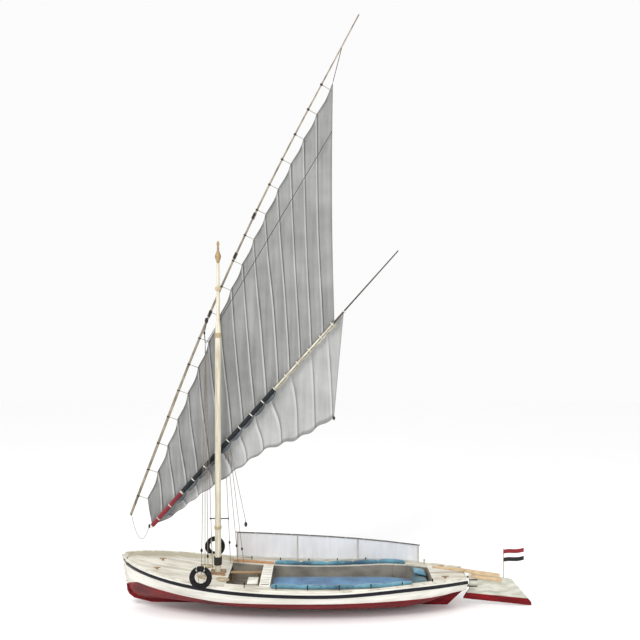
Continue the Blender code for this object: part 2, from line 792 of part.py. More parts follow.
def rudder_mesh():
    """Rudder blade with its two pintle arms."""
    body = plate(rudder_outline(), -RUDDER_HALF, RUDDER_HALF)
    for z in GUDGEON_Z:
        arm = box(RUDDER_AXIS_X - 0.10, RUDDER_AXIS_X + 0.014, -0.02, 0.02, z + 0.0408, z + 0.065)
        body = combine(body, arm, "UNION")
        pin = turned([(PINTLE_RADIUS, z - 0.02), (PINTLE_RADIUS, z + 0.05)], RUDDER_AXIS_X, 0.0, 12)
        body = combine(body, pin, "UNION")
    return body


def rudder_top(x):
    """Height of the rudder's gently falling top edge."""
    outline = rudder_outline()
    fore = outline[0]
    aft = outline[-1]
    return fore[1] + (aft[1] - fore[1]) * (x - fore[0]) / (aft[0] - fore[0])


def tiller_mesh():
    """Tiller beam: bearing along the rudder's head, then sweeping forward and up over the aft deck."""
    head = rudder_outline()[0][0]
    points = ((TILLER_AFT_X, rudder_top(TILLER_AFT_X) + GAP, 0.10), (head, rudder_top(head) + GAP, 0.10),
              (-4.75, 0.53, 0.085), (TILLER_FORE[0], TILLER_FORE[1], 0.06))
    sections = []
    for x, z, high in points:
        half = high * 0.5
        sections.append([(x, -half, z), (x, half, z), (x, half, z + high), (x, -half, z + high)])
    return loft(sections)


def flagstaff_mesh():
    foot = rudder_top(FLAGSTAFF_X + FLAGSTAFF_RADIUS) + GAP
    return rod((FLAGSTAFF_X, 0.0, foot), (FLAGSTAFF_X, 0.0, FLAG_TOP + 0.02), FLAGSTAFF_RADIUS)


def flag_mesh():
    hoist = FLAGSTAFF_X - FLAGSTAFF_RADIUS * math.cos(math.pi / 8) - GAP
    fly = hoist - FLAG_LENGTH
    low = FLAG_TOP - FLAG_DEPTH
    return plate([(hoist, low), (hoist, FLAG_TOP), (fly, FLAG_TOP + 0.04), (fly, low + 0.04)], -0.004, 0.004)


def build_stern_gear():
    axis = (RUDDER_AXIS_X, 0.0, GUDGEON_Z[0])
    place("gudgeon_lower", gudgeon_mesh(GUDGEON_Z[0]), dark_iron())
    place("gudgeon_upper", gudgeon_mesh(GUDGEON_Z[1]), dark_iron())
    place("rudder_blade", rudder_mesh(), white_paint(), axis)
    place("tiller", tiller_mesh(), bare_wood(), axis)
    place("flagstaff", flagstaff_mesh(), bare_wood(), axis)
    place("flag", flag_mesh(), sail_cloth(), axis)


def awning_top(x):
    share = (AWNING_FORE[0] - x) / (AWNING_FORE[0] - AWNING_AFT[0])
    return AWNING_FORE[1] + (AWNING_AFT[1] - AWNING_FORE[1]) * share


def awning_side(x):
    """Place of the awning's pole across the boat; it follows the rail in straight runs."""
    for fore, aft in zip(AWNING_STATIONS, AWNING_STATIONS[1:]):
        if x >= aft:
            share = (fore - x) / (fore - aft)
            return (AWNING_INSET - half_breadth(fore)) * (1 - share) + (AWNING_INSET - half_breadth(aft)) * share
    return AWNING_INSET - half_breadth(x)


def awning_frame_mesh():
    """Light pole along the top of the side awning, on slim posts that stand on the side deck."""
    points = [(x, awning_side(x), awning_top(x)) for x in AWNING_STATIONS]
    rail = bend(points, [POLE_RADIUS] * len(points), 16)
    for x in AWNING_POST_X:
        foot = max(side_deck_top(x - POST_RADIUS), side_deck_top(x + POST_RADIUS)) + GAP
        y = awning_side(x)
        rail = combine(rail, rod((x, y, foot), (x, y, awning_top(x)), POST_RADIUS, 6), "UNION")
    return rail


def awning_curtain_mesh():
    """Side awning cloth, hung on the outboard side of its posts."""
    ends = (AWNING_FORE[0] - 0.02, AWNING_AFT[0] + 0.02)
    sections = []
    for x in (ends[0],) + AWNING_STATIONS[1:-1] + (ends[1],):
        slope = max(abs(awning_side(x + 0.01) - awning_side(x)), abs(awning_side(x) - awning_side(x - 0.01))) / 0.01
        y = awning_side(x) - POLE_RADIUS * math.hypot(1.0, slope) - 0.0004
        low = side_deck_top(x) + 0.05
        sections.append([(x, y, low), (x, y, awning_top(x)), (x, y - 0.006, awning_top(x)), (x, y - 0.006, low)])
    return loft(sections)


def tyre_mesh(side, near):
    """Old car tyre used as a fender, with flat sidewalls and an open middle."""
    profile = ((TYRE_BORE, 0.02), (TYRE_BORE + 0.02, 0.0), (TYRE_RADIUS - 0.02, 0.0), (TYRE_RADIUS, 0.03),
               (TYRE_RADIUS, TYRE_WIDTH - 0.03), (TYRE_RADIUS - 0.02, TYRE_WIDTH),
               (TYRE_BORE + 0.02, TYRE_WIDTH), (TYRE_BORE, TYRE_WIDTH - 0.02))
    turns = 28
    count = len(profile)
    points = []
    faces = []
    for k in range(turns):
        angle = 2.0 * math.pi * k / turns
        after = (k + 1) % turns
        for j, (radius, depth) in enumerate(profile):
            beside = (j + 1) % count
            points.append((TYRE_X + radius * math.cos(angle), side * (near + depth),
                           TYRE_Z + radius * math.sin(angle)))
            faces.append((k * count + j, k * count + beside, after * count + beside, after * count + j))
    return mesh_from(points, faces)


def tree_of(mesh):
    return BVHTree.FromPolygons([v.co for v in mesh.vertices], [tuple(p.vertices) for p in mesh.polygons])


def bearing_distance(side):
    """How far out a tyre's inner face lies when it bears on the hull and strake with the seating gap."""
    names = ("hull_shell", "sheer_strake_port" if side > 0 else "sheer_strake_starboard")
    trees = [tree_of(bpy.data.objects[name].data) for name in names]
    touching = HALF_BEAM - 0.3
    free = HALF_BEAM + 0.3
    for _ in range(16):
        middle = (touching + free) / 2
        tyre = tree_of(tyre_mesh(side, middle))
        if any(tyre.overlap(tree) for tree in trees):
            touching = middle
        else:
            free = middle
    return free + GAP


def build_side_gear():
    place("awning_frame", awning_frame_mesh(), bare_wood())
    place("awning_curtain", awning_curtain_mesh(), sail_cloth())
    place("tyre_port", tyre_mesh(1, bearing_distance(1)), black_rubber())
    place("tyre_starboard", tyre_mesh(-1, bearing_distance(-1)), black_rubber())


def main():
    clear_scene()
    build_hull()
    build_decks()
    build_cockpit()
    build_mast()
    build_rig()
    build_stern_gear()
    build_side_gear()


main()
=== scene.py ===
"""Looks of the felucca: painted planking, canvas, cordage, cushions and weathered timber."""
import math

import bmesh
import bpy
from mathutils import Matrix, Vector, noise


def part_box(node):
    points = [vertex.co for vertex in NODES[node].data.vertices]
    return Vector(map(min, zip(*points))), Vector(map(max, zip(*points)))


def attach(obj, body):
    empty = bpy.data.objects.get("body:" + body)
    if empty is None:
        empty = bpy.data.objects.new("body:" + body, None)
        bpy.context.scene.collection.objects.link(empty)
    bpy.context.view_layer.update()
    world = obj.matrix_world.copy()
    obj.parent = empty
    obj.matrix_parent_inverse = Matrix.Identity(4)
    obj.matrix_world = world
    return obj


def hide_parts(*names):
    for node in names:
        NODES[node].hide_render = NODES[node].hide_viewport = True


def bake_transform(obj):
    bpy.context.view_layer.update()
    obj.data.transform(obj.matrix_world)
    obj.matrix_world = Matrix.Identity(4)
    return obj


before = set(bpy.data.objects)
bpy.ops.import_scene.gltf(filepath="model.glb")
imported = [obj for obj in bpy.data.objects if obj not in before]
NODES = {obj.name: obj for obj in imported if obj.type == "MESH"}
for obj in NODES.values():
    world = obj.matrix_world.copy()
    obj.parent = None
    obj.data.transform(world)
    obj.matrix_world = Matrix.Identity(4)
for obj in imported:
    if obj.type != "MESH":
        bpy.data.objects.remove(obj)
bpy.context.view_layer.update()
RAIL_STEP = 0.12
BOW_X = 4.97
TRANSOM_X = -4.93
MAST_X = 2.22
YARD_Y = -0.20
YARD_HEEL = Vector((4.78, 2.15))
YARD_PEAK = Vector((-1.88, 16.75))
YARD_SAG = 0.36
LUFF_OFFSET = 0.27
LUFF_START = 0.035
LUFF_END = 0.855
BLOCK_SHARE = 0.377
TIE_COUNT = 17
BOOM_Y = -0.215
BOOM_RADIUS = 0.050
BOOM_HEEL = Vector((4.20, 1.76))
BOOM_END = Vector((-3.03, 9.84))
SAIL_Y = -0.2753
PEAK_CORNER = Vector((-1.12, 14.80))
LEECH_BOOM = Vector((-1.16, 7.78))
CLEW = Vector((-1.15, 4.93))
FOOT = [Vector(p) for p in ((-0.15, 4.34), (0.88, 3.99), (2.05, 3.17), (2.79, 2.67), (3.60, 2.05))]


STRIPE_HALF = 0.052
BOOM_DARK_X = -1.10
AWNING_STATIONS = (1.85, 0.90, -0.05, -0.98, -1.90, -2.80, -3.75)
AWNING_INSET = 0.08
AWNING_POLE = 0.016
AWNING_FORE_Z = 1.29
AWNING_FALL = 0.27 / 5.60
FLOOR_Z = -0.455
FLAG_TOP = 1.15
FLAG_DEPTH = 0.35


# Small tools

def linear(code):
    """Linear RGBA of an sRGB hex colour."""
    parts = [int(code[k:k + 2], 16) / 255.0 for k in (0, 2, 4)]
    return tuple(c / 12.92 if c <= 0.04045 else ((c + 0.055) / 1.055) ** 2.4 for c in parts) + (1.0,)


def add_node(tree, kind, values=None, links=None, stops=None, **settings):
    """Add a node with its settings, input values, links from earlier nodes and colour stops."""
    made = tree.nodes.new(kind)
    for key, value in settings.items():
        setattr(made, key, value)
    for key, value in (values or {}).items():
        made.inputs[key].default_value = linear(value) if isinstance(value, str) else value
    for key, source in (links or {}).items():
        socket = source if isinstance(source, bpy.types.NodeSocket) else source.outputs[0]
        tree.links.new(socket, made.inputs[key])
    if stops:
        bar = made.color_ramp
        while len(bar.elements) < len(stops):
            bar.elements.new(0.5)
        for element, (position, code) in zip(bar.elements, stops):
            element.position = position
            element.color = linear(code)
    return made


def start_material(name, roughness, metallic=0.0, sheen=0.0, specular=0.5):
    """Material with a bare Principled shader, ready for a colour and a bump."""
    made = bpy.data.materials.new(name)
    made.use_nodes = True
    shader = made.node_tree.nodes["Principled BSDF"]
    shader.inputs["Roughness"].default_value = roughness
    shader.inputs["Metallic"].default_value = metallic
    shader.inputs["Sheen Weight"].default_value = sheen
    shader.inputs["Specular IOR Level"].default_value = specular
    return made, made.node_tree, shader


def finish_material(tree, shader, colour, height, depth, strength):
    """Link the final colour, and a bump of the given depth in metres, to the shader."""
    tree.links.new(colour if isinstance(colour, bpy.types.NodeSocket) else colour.outputs[0],
                   shader.inputs["Base Color"])
    relief = add_node(tree, "ShaderNodeBump", {"Strength": strength, "Distance": depth}, {"Height": height})
    tree.links.new(relief.outputs["Normal"], shader.inputs["Normal"])


# Materials

def topside_paint():
    """Brushed oil paint over long planks: chalky white, greyed along the seams, over a dark red bottom."""
    made, tree, shader = start_material("brushed_topside_paint", 0.45, specular=0.2)
    place = add_node(tree, "ShaderNodeTexCoord").outputs["Object"]
    broad_place = add_node(tree, "ShaderNodeMapping", {"Scale": (0.35, 1.0, 1.6)}, {"Vector": place})
    fine_place = add_node(tree, "ShaderNodeMapping", {"Scale": (6.0, 6.0, 30.0)}, {"Vector": place})
    broad = add_node(tree, "ShaderNodeTexNoise", {"Scale": 3.0, "Detail": 6.0}, {"Vector": broad_place})
    fine = add_node(tree, "ShaderNodeTexNoise", {"Scale": 3.0, "Detail": 5.0}, {"Vector": fine_place})
    run = add_node(tree, "ShaderNodeAttribute", attribute_name="run").outputs["Fac"]
    planks = add_node(tree, "ShaderNodeMath", {1: 7.0}, {0: run}, operation="MULTIPLY")
    folded = add_node(tree, "ShaderNodeMath", {1: 0.5}, {0: planks}, operation="PINGPONG")
    seam = add_node(tree, "ShaderNodeMapRange", {"From Max": 0.035, "To Min": 1.0, "To Max": 0.0}, {"Value": folded})
    grime = add_node(tree, "ShaderNodeMapRange", {"From Min": 0.42, "From Max": 0.78, "To Max": 0.8}, {"Value": broad})
    white = add_node(tree, "ShaderNodeMix", {6: "E4E2DA", 7: "BDB9AB"}, {0: grime}, data_type="RGBA")
    seam_share = add_node(tree, "ShaderNodeMath", {1: 0.40}, {0: seam}, operation="MULTIPLY")
    white = add_node(tree, "ShaderNodeMix", {7: "8C897C"}, {0: seam_share, 6: white.outputs[2]}, data_type="RGBA")
    scuff = add_node(tree, "ShaderNodeMapRange", {"From Min": 0.66, "From Max": 0.74, "To Max": 0.3}, {"Value": fine})
    white = add_node(tree, "ShaderNodeMix", {7: "A79C84"}, {0: scuff, 6: white.outputs[2]}, data_type="RGBA")
    stripe = add_node(tree, "ShaderNodeAttribute", attribute_name="stripe").outputs["Fac"]
    band = add_node(tree, "ShaderNodeMath", {1: STRIPE_HALF}, {0: stripe}, operation="LESS_THAN")
    white = add_node(tree, "ShaderNodeMix", {7: "05070F"}, {0: band, 6: white.outputs[2]}, data_type="RGBA")
    red = add_node(tree, "ShaderNodeValToRGB", links={"Fac": broad}, stops=[(0.3, "4E0208"), (0.62, "78060E")])
    above = add_node(tree, "ShaderNodeAttribute", attribute_name="above").outputs["Fac"]
    wobble = add_node(tree, "ShaderNodeMath", {1: 0.012, 2: 0.0}, {0: fine, 2: above}, operation="MULTIPLY_ADD")
    dry = add_node(tree, "ShaderNodeMapRange", {"From Min": 0.004, "From Max": 0.012}, {"Value": wobble})
    skin = add_node(tree, "ShaderNodeMix", links={0: dry, 6: red, 7: white.outputs[2]}, data_type="RGBA")
    # Inner faces of the planking take a darker grey-beige: painted shade on the inside of the bulwarks.
    inner = add_node(tree, "ShaderNodeAttribute", attribute_name="inner").outputs["Fac"]
    skin = add_node(tree, "ShaderNodeMix", {7: "B9B3A0"}, {0: inner, 6: skin.outputs[2]}, data_type="RGBA")
    height = add_node(tree, "ShaderNodeMath", {1: 0.25}, {0: fine}, operation="MULTIPLY")
    height = add_node(tree, "ShaderNodeMath", links={0: height, 1: seam}, operation="SUBTRACT")
    finish_material(tree, shader, skin.outputs[2], height, 0.006, 0.6)
    return made


def painted_boards(name, clean, dirty, width):
    """Boards under worn paint: straight caulked seams, and foot traffic that dulls their middles."""
    made, tree, shader = start_material(name, 0.62)
    place = add_node(tree, "ShaderNodeTexCoord").outputs["Object"]
    parts = add_node(tree, "ShaderNodeSeparateXYZ", links={"Vector": place})
    boards = add_node(tree, "ShaderNodeMath", {1: 1.0 / width}, {0: parts.outputs["Y"]}, operation="MULTIPLY")
    folded = add_node(tree, "ShaderNodeMath", {1: 0.5}, {0: boards}, operation="PINGPONG")
    seam = add_node(tree, "ShaderNodeMapRange", {"From Max": 0.05, "To Min": 1.0, "To Max": 0.0}, {"Value": folded})
    long_place = add_node(tree, "ShaderNodeMapping", {"Scale": (0.6, 3.0, 1.0)}, {"Vector": place})
    broad = add_node(tree, "ShaderNodeTexNoise", {"Scale": 2.2, "Detail": 6.0}, {"Vector": long_place})
    fine = add_node(tree, "ShaderNodeTexNoise", {"Scale": 26.0, "Detail": 4.0}, {"Vector": long_place})
    grime = add_node(tree, "ShaderNodeMapRange", {"From Min": 0.40, "From Max": 0.72}, {"Value": broad})
    tint = add_node(tree, "ShaderNodeMix", {6: clean, 7: dirty}, {0: grime}, data_type="RGBA")
    seam_share = add_node(tree, "ShaderNodeMath", {1: 0.7}, {0: seam}, operation="MULTIPLY")
    tint = add_node(tree, "ShaderNodeMix", {7: "6E6858"}, {0: seam_share, 6: tint.outputs[2]}, data_type="RGBA")
    scuff = add_node(tree, "ShaderNodeMapRange", {"From Min": 0.62, "From Max": 0.72, "To Max": 0.4}, {"Value": fine})
    tint = add_node(tree, "ShaderNodeMix", {7: "9A8C70"}, {0: scuff, 6: tint.outputs[2]}, data_type="RGBA")
    height = add_node(tree, "ShaderNodeMath", {1: 0.3}, {0: fine}, operation="MULTIPLY")
    height = add_node(tree, "ShaderNodeMath", links={0: height, 1: seam}, operation="SUBTRACT")
    finish_material(tree, shader, tint.outputs[2], height, 0.005, 0.7)
    return made


def timber(name, light, dark, grain=(1.0, 14.0, 14.0), roughness=0.6, tip=None):
    """Oiled or weathered timber: long grain, darker growth lines and open pores; a tip colour is for the boom."""
    made, tree, shader = start_material(name, roughness)
    coords = add_node(tree, "ShaderNodeTexCoord").outputs["Object"]
    place = add_node(tree, "ShaderNodeMapping", {"Scale": grain}, {"Vector": coords})
    rings = add_node(tree, "ShaderNodeTexNoise", {"Scale": 2.4, "Detail": 8.0, "Roughness": 0.62}, {"Vector": place})
    pores = add_node(tree, "ShaderNodeTexNoise", {"Scale": 22.0, "Detail": 3.0}, {"Vector": place})
    tint = add_node(tree, "ShaderNodeValToRGB", links={"Fac": rings}, stops=[(0.32, dark), (0.66, light)]).outputs[0]
    worn = add_node(tree, "ShaderNodeMapRange", {"From Min": 0.55, "From Max": 0.7, "To Max": 0.4}, {"Value": pores})
    tint = add_node(tree, "ShaderNodeMix", {7: dark}, {0: worn, 6: tint}, data_type="RGBA").outputs[2]
    if tip:
        parts = add_node(tree, "ShaderNodeSeparateXYZ", links={"Vector": coords})
        beyond = add_node(tree, "ShaderNodeMapRange", {"From Min": BOOM_DARK_X, "From Max": BOOM_DARK_X - 0.05},
                          {"Value": parts.outputs["X"]})
        tint = add_node(tree, "ShaderNodeMix", {7: tip}, {0: beyond, 6: tint}, data_type="RGBA").outputs[2]
    height = add_node(tree, "ShaderNodeMath", {1: 0.5}, {0: pores}, operation="MULTIPLY")
    height = add_node(tree, "ShaderNodeMath", links={0: height, 1: rings}, operation="ADD")
    finish_material(tree, shader, tint, height, 0.003, 0.5)
    return made


def canvas(name, light, dark, fold_highlight, fold_shade_and_hem_dark, thread=0.012):
    """Cotton canvas, sun-faded in long streaks, with a painted highlight on the crown of each fold, painted shade in
    its valley, and hems drawn in the same dark colour.

    The weave is drawn at 12 mm, coarser than real thread, so that it shows.
    """
    made, tree, shader = start_material(name, 0.9, sheen=0.15)
    place = add_node(tree, "ShaderNodeTexCoord").outputs["Object"]
    cut = add_node(tree, "ShaderNodeUVMap", uv_map="cloth").outputs["UV"]
    parts = add_node(tree, "ShaderNodeSeparateXYZ", links={"Vector": cut})
    warp = add_node(tree, "ShaderNodeMath", {1: 2 * math.pi / thread}, {0: parts.outputs["X"]}, operation="MULTIPLY")
    warp = add_node(tree, "ShaderNodeMath", links={0: warp}, operation="SINE")
    weft = add_node(tree, "ShaderNodeMath", {1: 2 * math.pi / thread}, {0: parts.outputs["Y"]}, operation="MULTIPLY")
    weft = add_node(tree, "ShaderNodeMath", links={0: weft}, operation="SINE")
    weave = add_node(tree, "ShaderNodeMath", links={0: warp, 1: weft}, operation="MULTIPLY")
    streak_place = add_node(tree, "ShaderNodeMapping", {"Scale": (2.6, 0.16, 1.0)}, {"Vector": cut})
    streaks = add_node(tree, "ShaderNodeTexNoise", {"Scale": 2.5, "Detail": 5.0}, {"Vector": streak_place})
    blotch = add_node(tree, "ShaderNodeTexNoise", {"Scale": 1.3, "Detail": 5.0}, {"Vector": place})
    fade = add_node(tree, "ShaderNodeMix", {0: 0.5}, {2: streaks, 3: blotch})
    tint = add_node(tree, "ShaderNodeValToRGB", links={"Fac": fade}, stops=[(0.34, dark), (0.62, light)])
    pleat = add_node(tree, "ShaderNodeAttribute", attribute_name="pleat").outputs["Fac"]
    turn = add_node(tree, "ShaderNodeMath", links={0: pleat}, operation="FRACT")
    # Painted shade in the valley of each fold and a painted highlight on its crown, scaled by the folded attribute.
    valley = add_node(tree, "ShaderNodeMapRange", {"From Min": 0.02, "From Max": 0.14, "To Min": 0.85, "To Max": 0.0},
                      {"Value": turn})
    crown = add_node(tree, "ShaderNodeMapRange", {"From Min": 0.84, "From Max": 0.96, "To Max": 0.65}, {"Value": turn})
    fold_shade_strength = add_node(tree, "ShaderNodeAttribute", attribute_name="folded").outputs["Fac"]
    valley = add_node(tree, "ShaderNodeMath", links={0: valley, 1: fold_shade_strength}, operation="MULTIPLY")
    crown = add_node(tree, "ShaderNodeMath", links={0: crown, 1: fold_shade_strength}, operation="MULTIPLY")
    tint = add_node(tree, "ShaderNodeMix", {7: fold_shade_and_hem_dark}, {0: valley, 6: tint}, data_type="RGBA")
    tint = add_node(tree, "ShaderNodeMix", {7: fold_highlight}, {0: crown, 6: tint.outputs[2]}, data_type="RGBA")
    # Hems drawn darker, in the same colour as the painted fold shade.
    hem = add_node(tree, "ShaderNodeAttribute", attribute_name="seam").outputs["Fac"]
    hem_share = add_node(tree, "ShaderNodeMath", {1: 0.6}, {0: hem}, operation="MULTIPLY")
    tint = add_node(tree, "ShaderNodeMix", {7: fold_shade_and_hem_dark}, {0: hem_share, 6: tint.outputs[2]}, data_type="RGBA")
    height = add_node(tree, "ShaderNodeMath", {1: 0.5}, {0: weave}, operation="MULTIPLY")
    height = add_node(tree, "ShaderNodeMath", links={0: height, 1: hem}, operation="ADD")
    finish_material(tree, shader, tint.outputs[2], height, 0.002, 0.5)
    return made


def cushion_cloth(name, light, dark, crown, sheen=0.25):
    """Washed cotton cover: soft creases with a painted highlight on their crowns, over random darker and lighter
    patches; 10 mm drawn threads.
    """
    made, tree, shader = start_material(name, 0.85, sheen=sheen)
    place = add_node(tree, "ShaderNodeTexCoord").outputs["Object"]
    creases = add_node(tree, "ShaderNodeTexNoise", {"Scale": 5.0, "Detail": 7.0, "Roughness": 0.65}, {"Vector": place})
    spots = add_node(tree, "ShaderNodeTexNoise", {"Scale": 1.6, "Detail": 3.0}, {"Vector": place})
    tint = add_node(tree, "ShaderNodeValToRGB", links={"Fac": spots}, stops=[(0.35, dark), (0.65, light)])
    # Painted highlight: the crown colour is laid on the raised crease tops, where the bump is highest.
    worn = add_node(tree, "ShaderNodeMapRange", {"From Min": 0.52, "From Max": 0.74, "To Max": 0.45},
                    {"Value": creases})
    tint = add_node(tree, "ShaderNodeMix", {7: crown}, {0: worn, 6: tint}, data_type="RGBA")
    threads = add_node(tree, "ShaderNodeTexWave", {"Scale": 32.0, "Distortion": 0.4}, {"Vector": place},
                       bands_direction="DIAGONAL")
    height = add_node(tree, "ShaderNodeMath", {1: 3.0}, {0: creases}, operation="MULTIPLY")
    fine = add_node(tree, "ShaderNodeMath", {1: 0.15}, {0: threads.outputs["Fac"]}, operation="MULTIPLY")
    height = add_node(tree, "ShaderNodeMath", links={0: height, 1: fine}, operation="ADD")
    finish_material(tree, shader, tint.outputs[2], height, 0.012, 0.6)
    return made


def cordage(name, light, dark, turns=0.02):
    """Laid rope: slanting strands with a painted highlight on each crown and painted shade between them, dulled by
    handling.
    """
    made, tree, shader = start_material(name, 0.9)
    place = add_node(tree, "ShaderNodeTexCoord").outputs["Object"]
    lay = add_node(tree, "ShaderNodeTexWave", {"Scale": 0.32 / turns, "Distortion": 0.6, "Detail": 1.0},
                   {"Vector": place}, bands_direction="DIAGONAL")
    strands = lay.outputs["Fac"]
    # Painted shade in the grooves between strands and a painted highlight on their crowns.
    tint = add_node(tree, "ShaderNodeValToRGB", links={"Fac": strands}, stops=[(0.2, dark), (0.7, light)])
    finish_material(tree, shader, tint, strands, 0.004, 0.8)
    return made


def mottled(name, light, dark, scale, roughness, metallic=0.0, depth=0.004, stretch=(1.0, 1.0, 1.0), span=(0.4, 0.72)):
    """Mottled surface, for dusty rubber, blackened iron with rust, or enamel chafed along the boat's length."""
    made, tree, shader = start_material(name, roughness, metallic, specular=0.25)
    coords = add_node(tree, "ShaderNodeTexCoord").outputs["Object"]
    place = add_node(tree, "ShaderNodeMapping", {"Scale": stretch}, {"Vector": coords})
    patches = add_node(tree, "ShaderNodeTexNoise", {"Scale": scale, "Detail": 6.0}, {"Vector": place})
    tint = add_node(tree, "ShaderNodeValToRGB", links={"Fac": patches}, stops=[(span[0], dark), (span[1], light)])
    finish_material(tree, shader, tint, patches, depth, 0.5)
    return made


def two_tone_paint(name, white_pair, red_pair, line_z, fall, board):
    """White paint over dark red bottom paint, parted at a height that may fall towards the stern."""
    made, tree, shader = start_material(name, 0.58, specular=0.2)
    coords = add_node(tree, "ShaderNodeTexCoord").outputs["Object"]
    parts = add_node(tree, "ShaderNodeSeparateXYZ", links={"Vector": coords})
    aft = add_node(tree, "ShaderNodeMath", {1: -TRANSOM_X}, {0: parts.outputs["X"]}, operation="ADD")
    drop = add_node(tree, "ShaderNodeMath", {1: fall}, {0: aft}, operation="MULTIPLY")
    level = add_node(tree, "ShaderNodeMath", links={0: parts.outputs["Z"], 1: drop}, operation="SUBTRACT")
    place = add_node(tree, "ShaderNodeMapping", {"Scale": (0.5, 1.0, 2.0)}, {"Vector": coords})
    wear = add_node(tree, "ShaderNodeTexNoise", {"Scale": 5.0, "Detail": 6.0}, {"Vector": place})
    white = add_node(tree, "ShaderNodeValToRGB", links={"Fac": wear},
                     stops=[(0.35, white_pair[0]), (0.65, white_pair[1])])
    red = add_node(tree, "ShaderNodeValToRGB", links={"Fac": wear}, stops=[(0.35, red_pair[0]), (0.65, red_pair[1])])
    boards = add_node(tree, "ShaderNodeMath", {1: 1.0 / board}, {0: level}, operation="MULTIPLY")
    folded = add_node(tree, "ShaderNodeMath", {1: 0.5}, {0: boards}, operation="PINGPONG")
    seam = add_node(tree, "ShaderNodeMapRange", {"From Max": 0.04, "To Min": 0.5, "To Max": 0.0}, {"Value": folded})
    white = add_node(tree, "ShaderNodeMix", {7: "6A685C"}, {0: seam, 6: white}, data_type="RGBA")
    dry = add_node(tree, "ShaderNodeMapRange", {"From Min": line_z, "From Max": line_z + 0.008}, {"Value": level})
    tint = add_node(tree, "ShaderNodeMix", links={0: dry, 6: red, 7: white.outputs[2]}, data_type="RGBA")
    height = add_node(tree, "ShaderNodeMath", links={0: wear, 1: seam}, operation="SUBTRACT")
    finish_material(tree, shader, tint.outputs[2], height, 0.004, 0.6)
    return made


def bunting():
    """Flag cloth in three plain stripes: red, white and black."""
    made, tree, shader = start_material("striped_bunting", 0.8)
    cut = add_node(tree, "ShaderNodeUVMap", uv_map="cloth").outputs["UV"]
    parts = add_node(tree, "ShaderNodeSeparateXYZ", links={"Vector": cut})
    stripes = add_node(tree, "ShaderNodeValToRGB", links={"Fac": parts.outputs["Y"]},
                       stops=[(0.0, "121314"), (1 / 3, "EDEBE4"), (2 / 3, "7E1620")])
    stripes.color_ramp.interpolation = "CONSTANT"
    place = add_node(tree, "ShaderNodeTexCoord").outputs["Object"]
    weave = add_node(tree, "ShaderNodeTexNoise", {"Scale": 160.0}, {"Vector": place})
    finish_material(tree, shader, stripes, weave, 0.001, 0.5)
    return made


# Meshes

def new_piece(name, points, faces, material, body, slot=None, smooth=True):
    """Finished piece from points and faces, riding on a body."""
    mesh = bpy.data.meshes.new(name)
    mesh.from_pydata([tuple(p) for p in points], [], faces)
    mesh.validate()
    return settle(name, mesh, material, body, smooth)


def settle(name, mesh, material, body, smooth=True):
    mesh.materials.clear()
    mesh.materials.append(material)
    if smooth:
        mesh.shade_smooth()
        mesh.set_sharp_from_angle(angle=math.radians(40))
    made = bpy.data.objects.new(name, mesh)
    bpy.context.scene.collection.objects.link(made)
    if body:
        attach(made, body)
    return made


def outward(mesh):
    work = bmesh.new()
    work.from_mesh(mesh)
    bmesh.ops.remove_doubles(work, verts=work.verts, dist=0.00005)
    bmesh.ops.recalc_face_normals(work, faces=work.faces)
    if work.calc_volume(signed=True) < 0:
        bmesh.ops.reverse_faces(work, faces=work.faces)
    work.to_mesh(mesh)
    work.free()
    return mesh


def merged_copy(node):
    """The node's mesh with its triangles joined, so that it can be shaded smooth."""
    mesh = NODES[node].data.copy()
    work = bmesh.new()
    work.from_mesh(mesh)
    bmesh.ops.remove_doubles(work, verts=work.verts, dist=0.00005)
    bmesh.ops.dissolve_limit(work, angle_limit=math.radians(0.5), verts=work.verts, edges=work.edges)
    work.to_mesh(mesh)
    work.free()
    return mesh


def smooth_node(node, material, body, bevel=0.0):
    """Stand-in for a CAD node of the same form, with smooth shading and eased edges."""
    mesh = merged_copy(node)
    made = settle(node + "_finish", mesh, material, None)
    if bevel:
        ease = made.modifiers.new("ease", "BEVEL")
        ease.width = bevel
        ease.segments = 2
        ease.limit_method = "ANGLE"
        ease.angle_limit = math.radians(40)
        ease.use_clamp_overlap = True
        bake(made)
        made.data.shade_smooth()
        made.data.set_sharp_from_angle(angle=math.radians(40))
    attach(made, body)
    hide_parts(node)
    return made


def bake(made):
    """Turn a piece's modifiers into plain mesh."""
    bpy.context.view_layer.update()
    seen = made.evaluated_get(bpy.context.evaluated_depsgraph_get())
    result = bpy.data.meshes.new_from_object(seen)
    made.modifiers.clear()
    made.data = result
    return made


def tube_parts(path, radius, sides=8):
    """Points and faces of a round tube along a path, with closed ends; radius may be a list."""
    path = [Vector(p) for p in path]
    radii = radius if isinstance(radius, (list, tuple)) else [radius] * len(path)
    points = []
    faces = []
    up = Vector((0.0, 1.0, 0.0))
    for k, here in enumerate(path):
        run = (path[min(k + 1, len(path) - 1)] - path[max(k - 1, 0)]).normalized()
        side = run.cross(up)
        if side.length < 0.05:
            side = run.cross(Vector((1.0, 0.0, 0.0)))
        side.normalize()
        up = side.cross(run).normalized()
        for j in range(sides):
            angle = 2 * math.pi * j / sides
            points.append(here + radii[k] * (math.cos(angle) * side + math.sin(angle) * up))
    for k in range(len(path) - 1):
        for j in range(sides):
            a = k * sides + j
            b = k * sides + (j + 1) % sides
            faces.append((a, b, b + sides, a + sides))
    faces.append(tuple(range(sides - 1, -1, -1)))
    faces.append(tuple(range(len(points) - sides, len(points))))
    return points, faces


def join_parts(parts):
    """One list of points and faces from several."""
    points = []
    faces = []
    for some, shape in parts:
        base = len(points)
        points.extend(some)
        faces.extend(tuple(base + k for k in face) for face in shape)
    return points, faces


def tubes(name, paths, radius, material, body, slot, sides=8):
    points, faces = join_parts([tube_parts(path, radius, sides) for path in paths])
    made = new_piece(name, points, faces, material, None, slot)
    outward(made.data)
    made.data.shade_smooth()
    if body:
        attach(made, body)
    return made


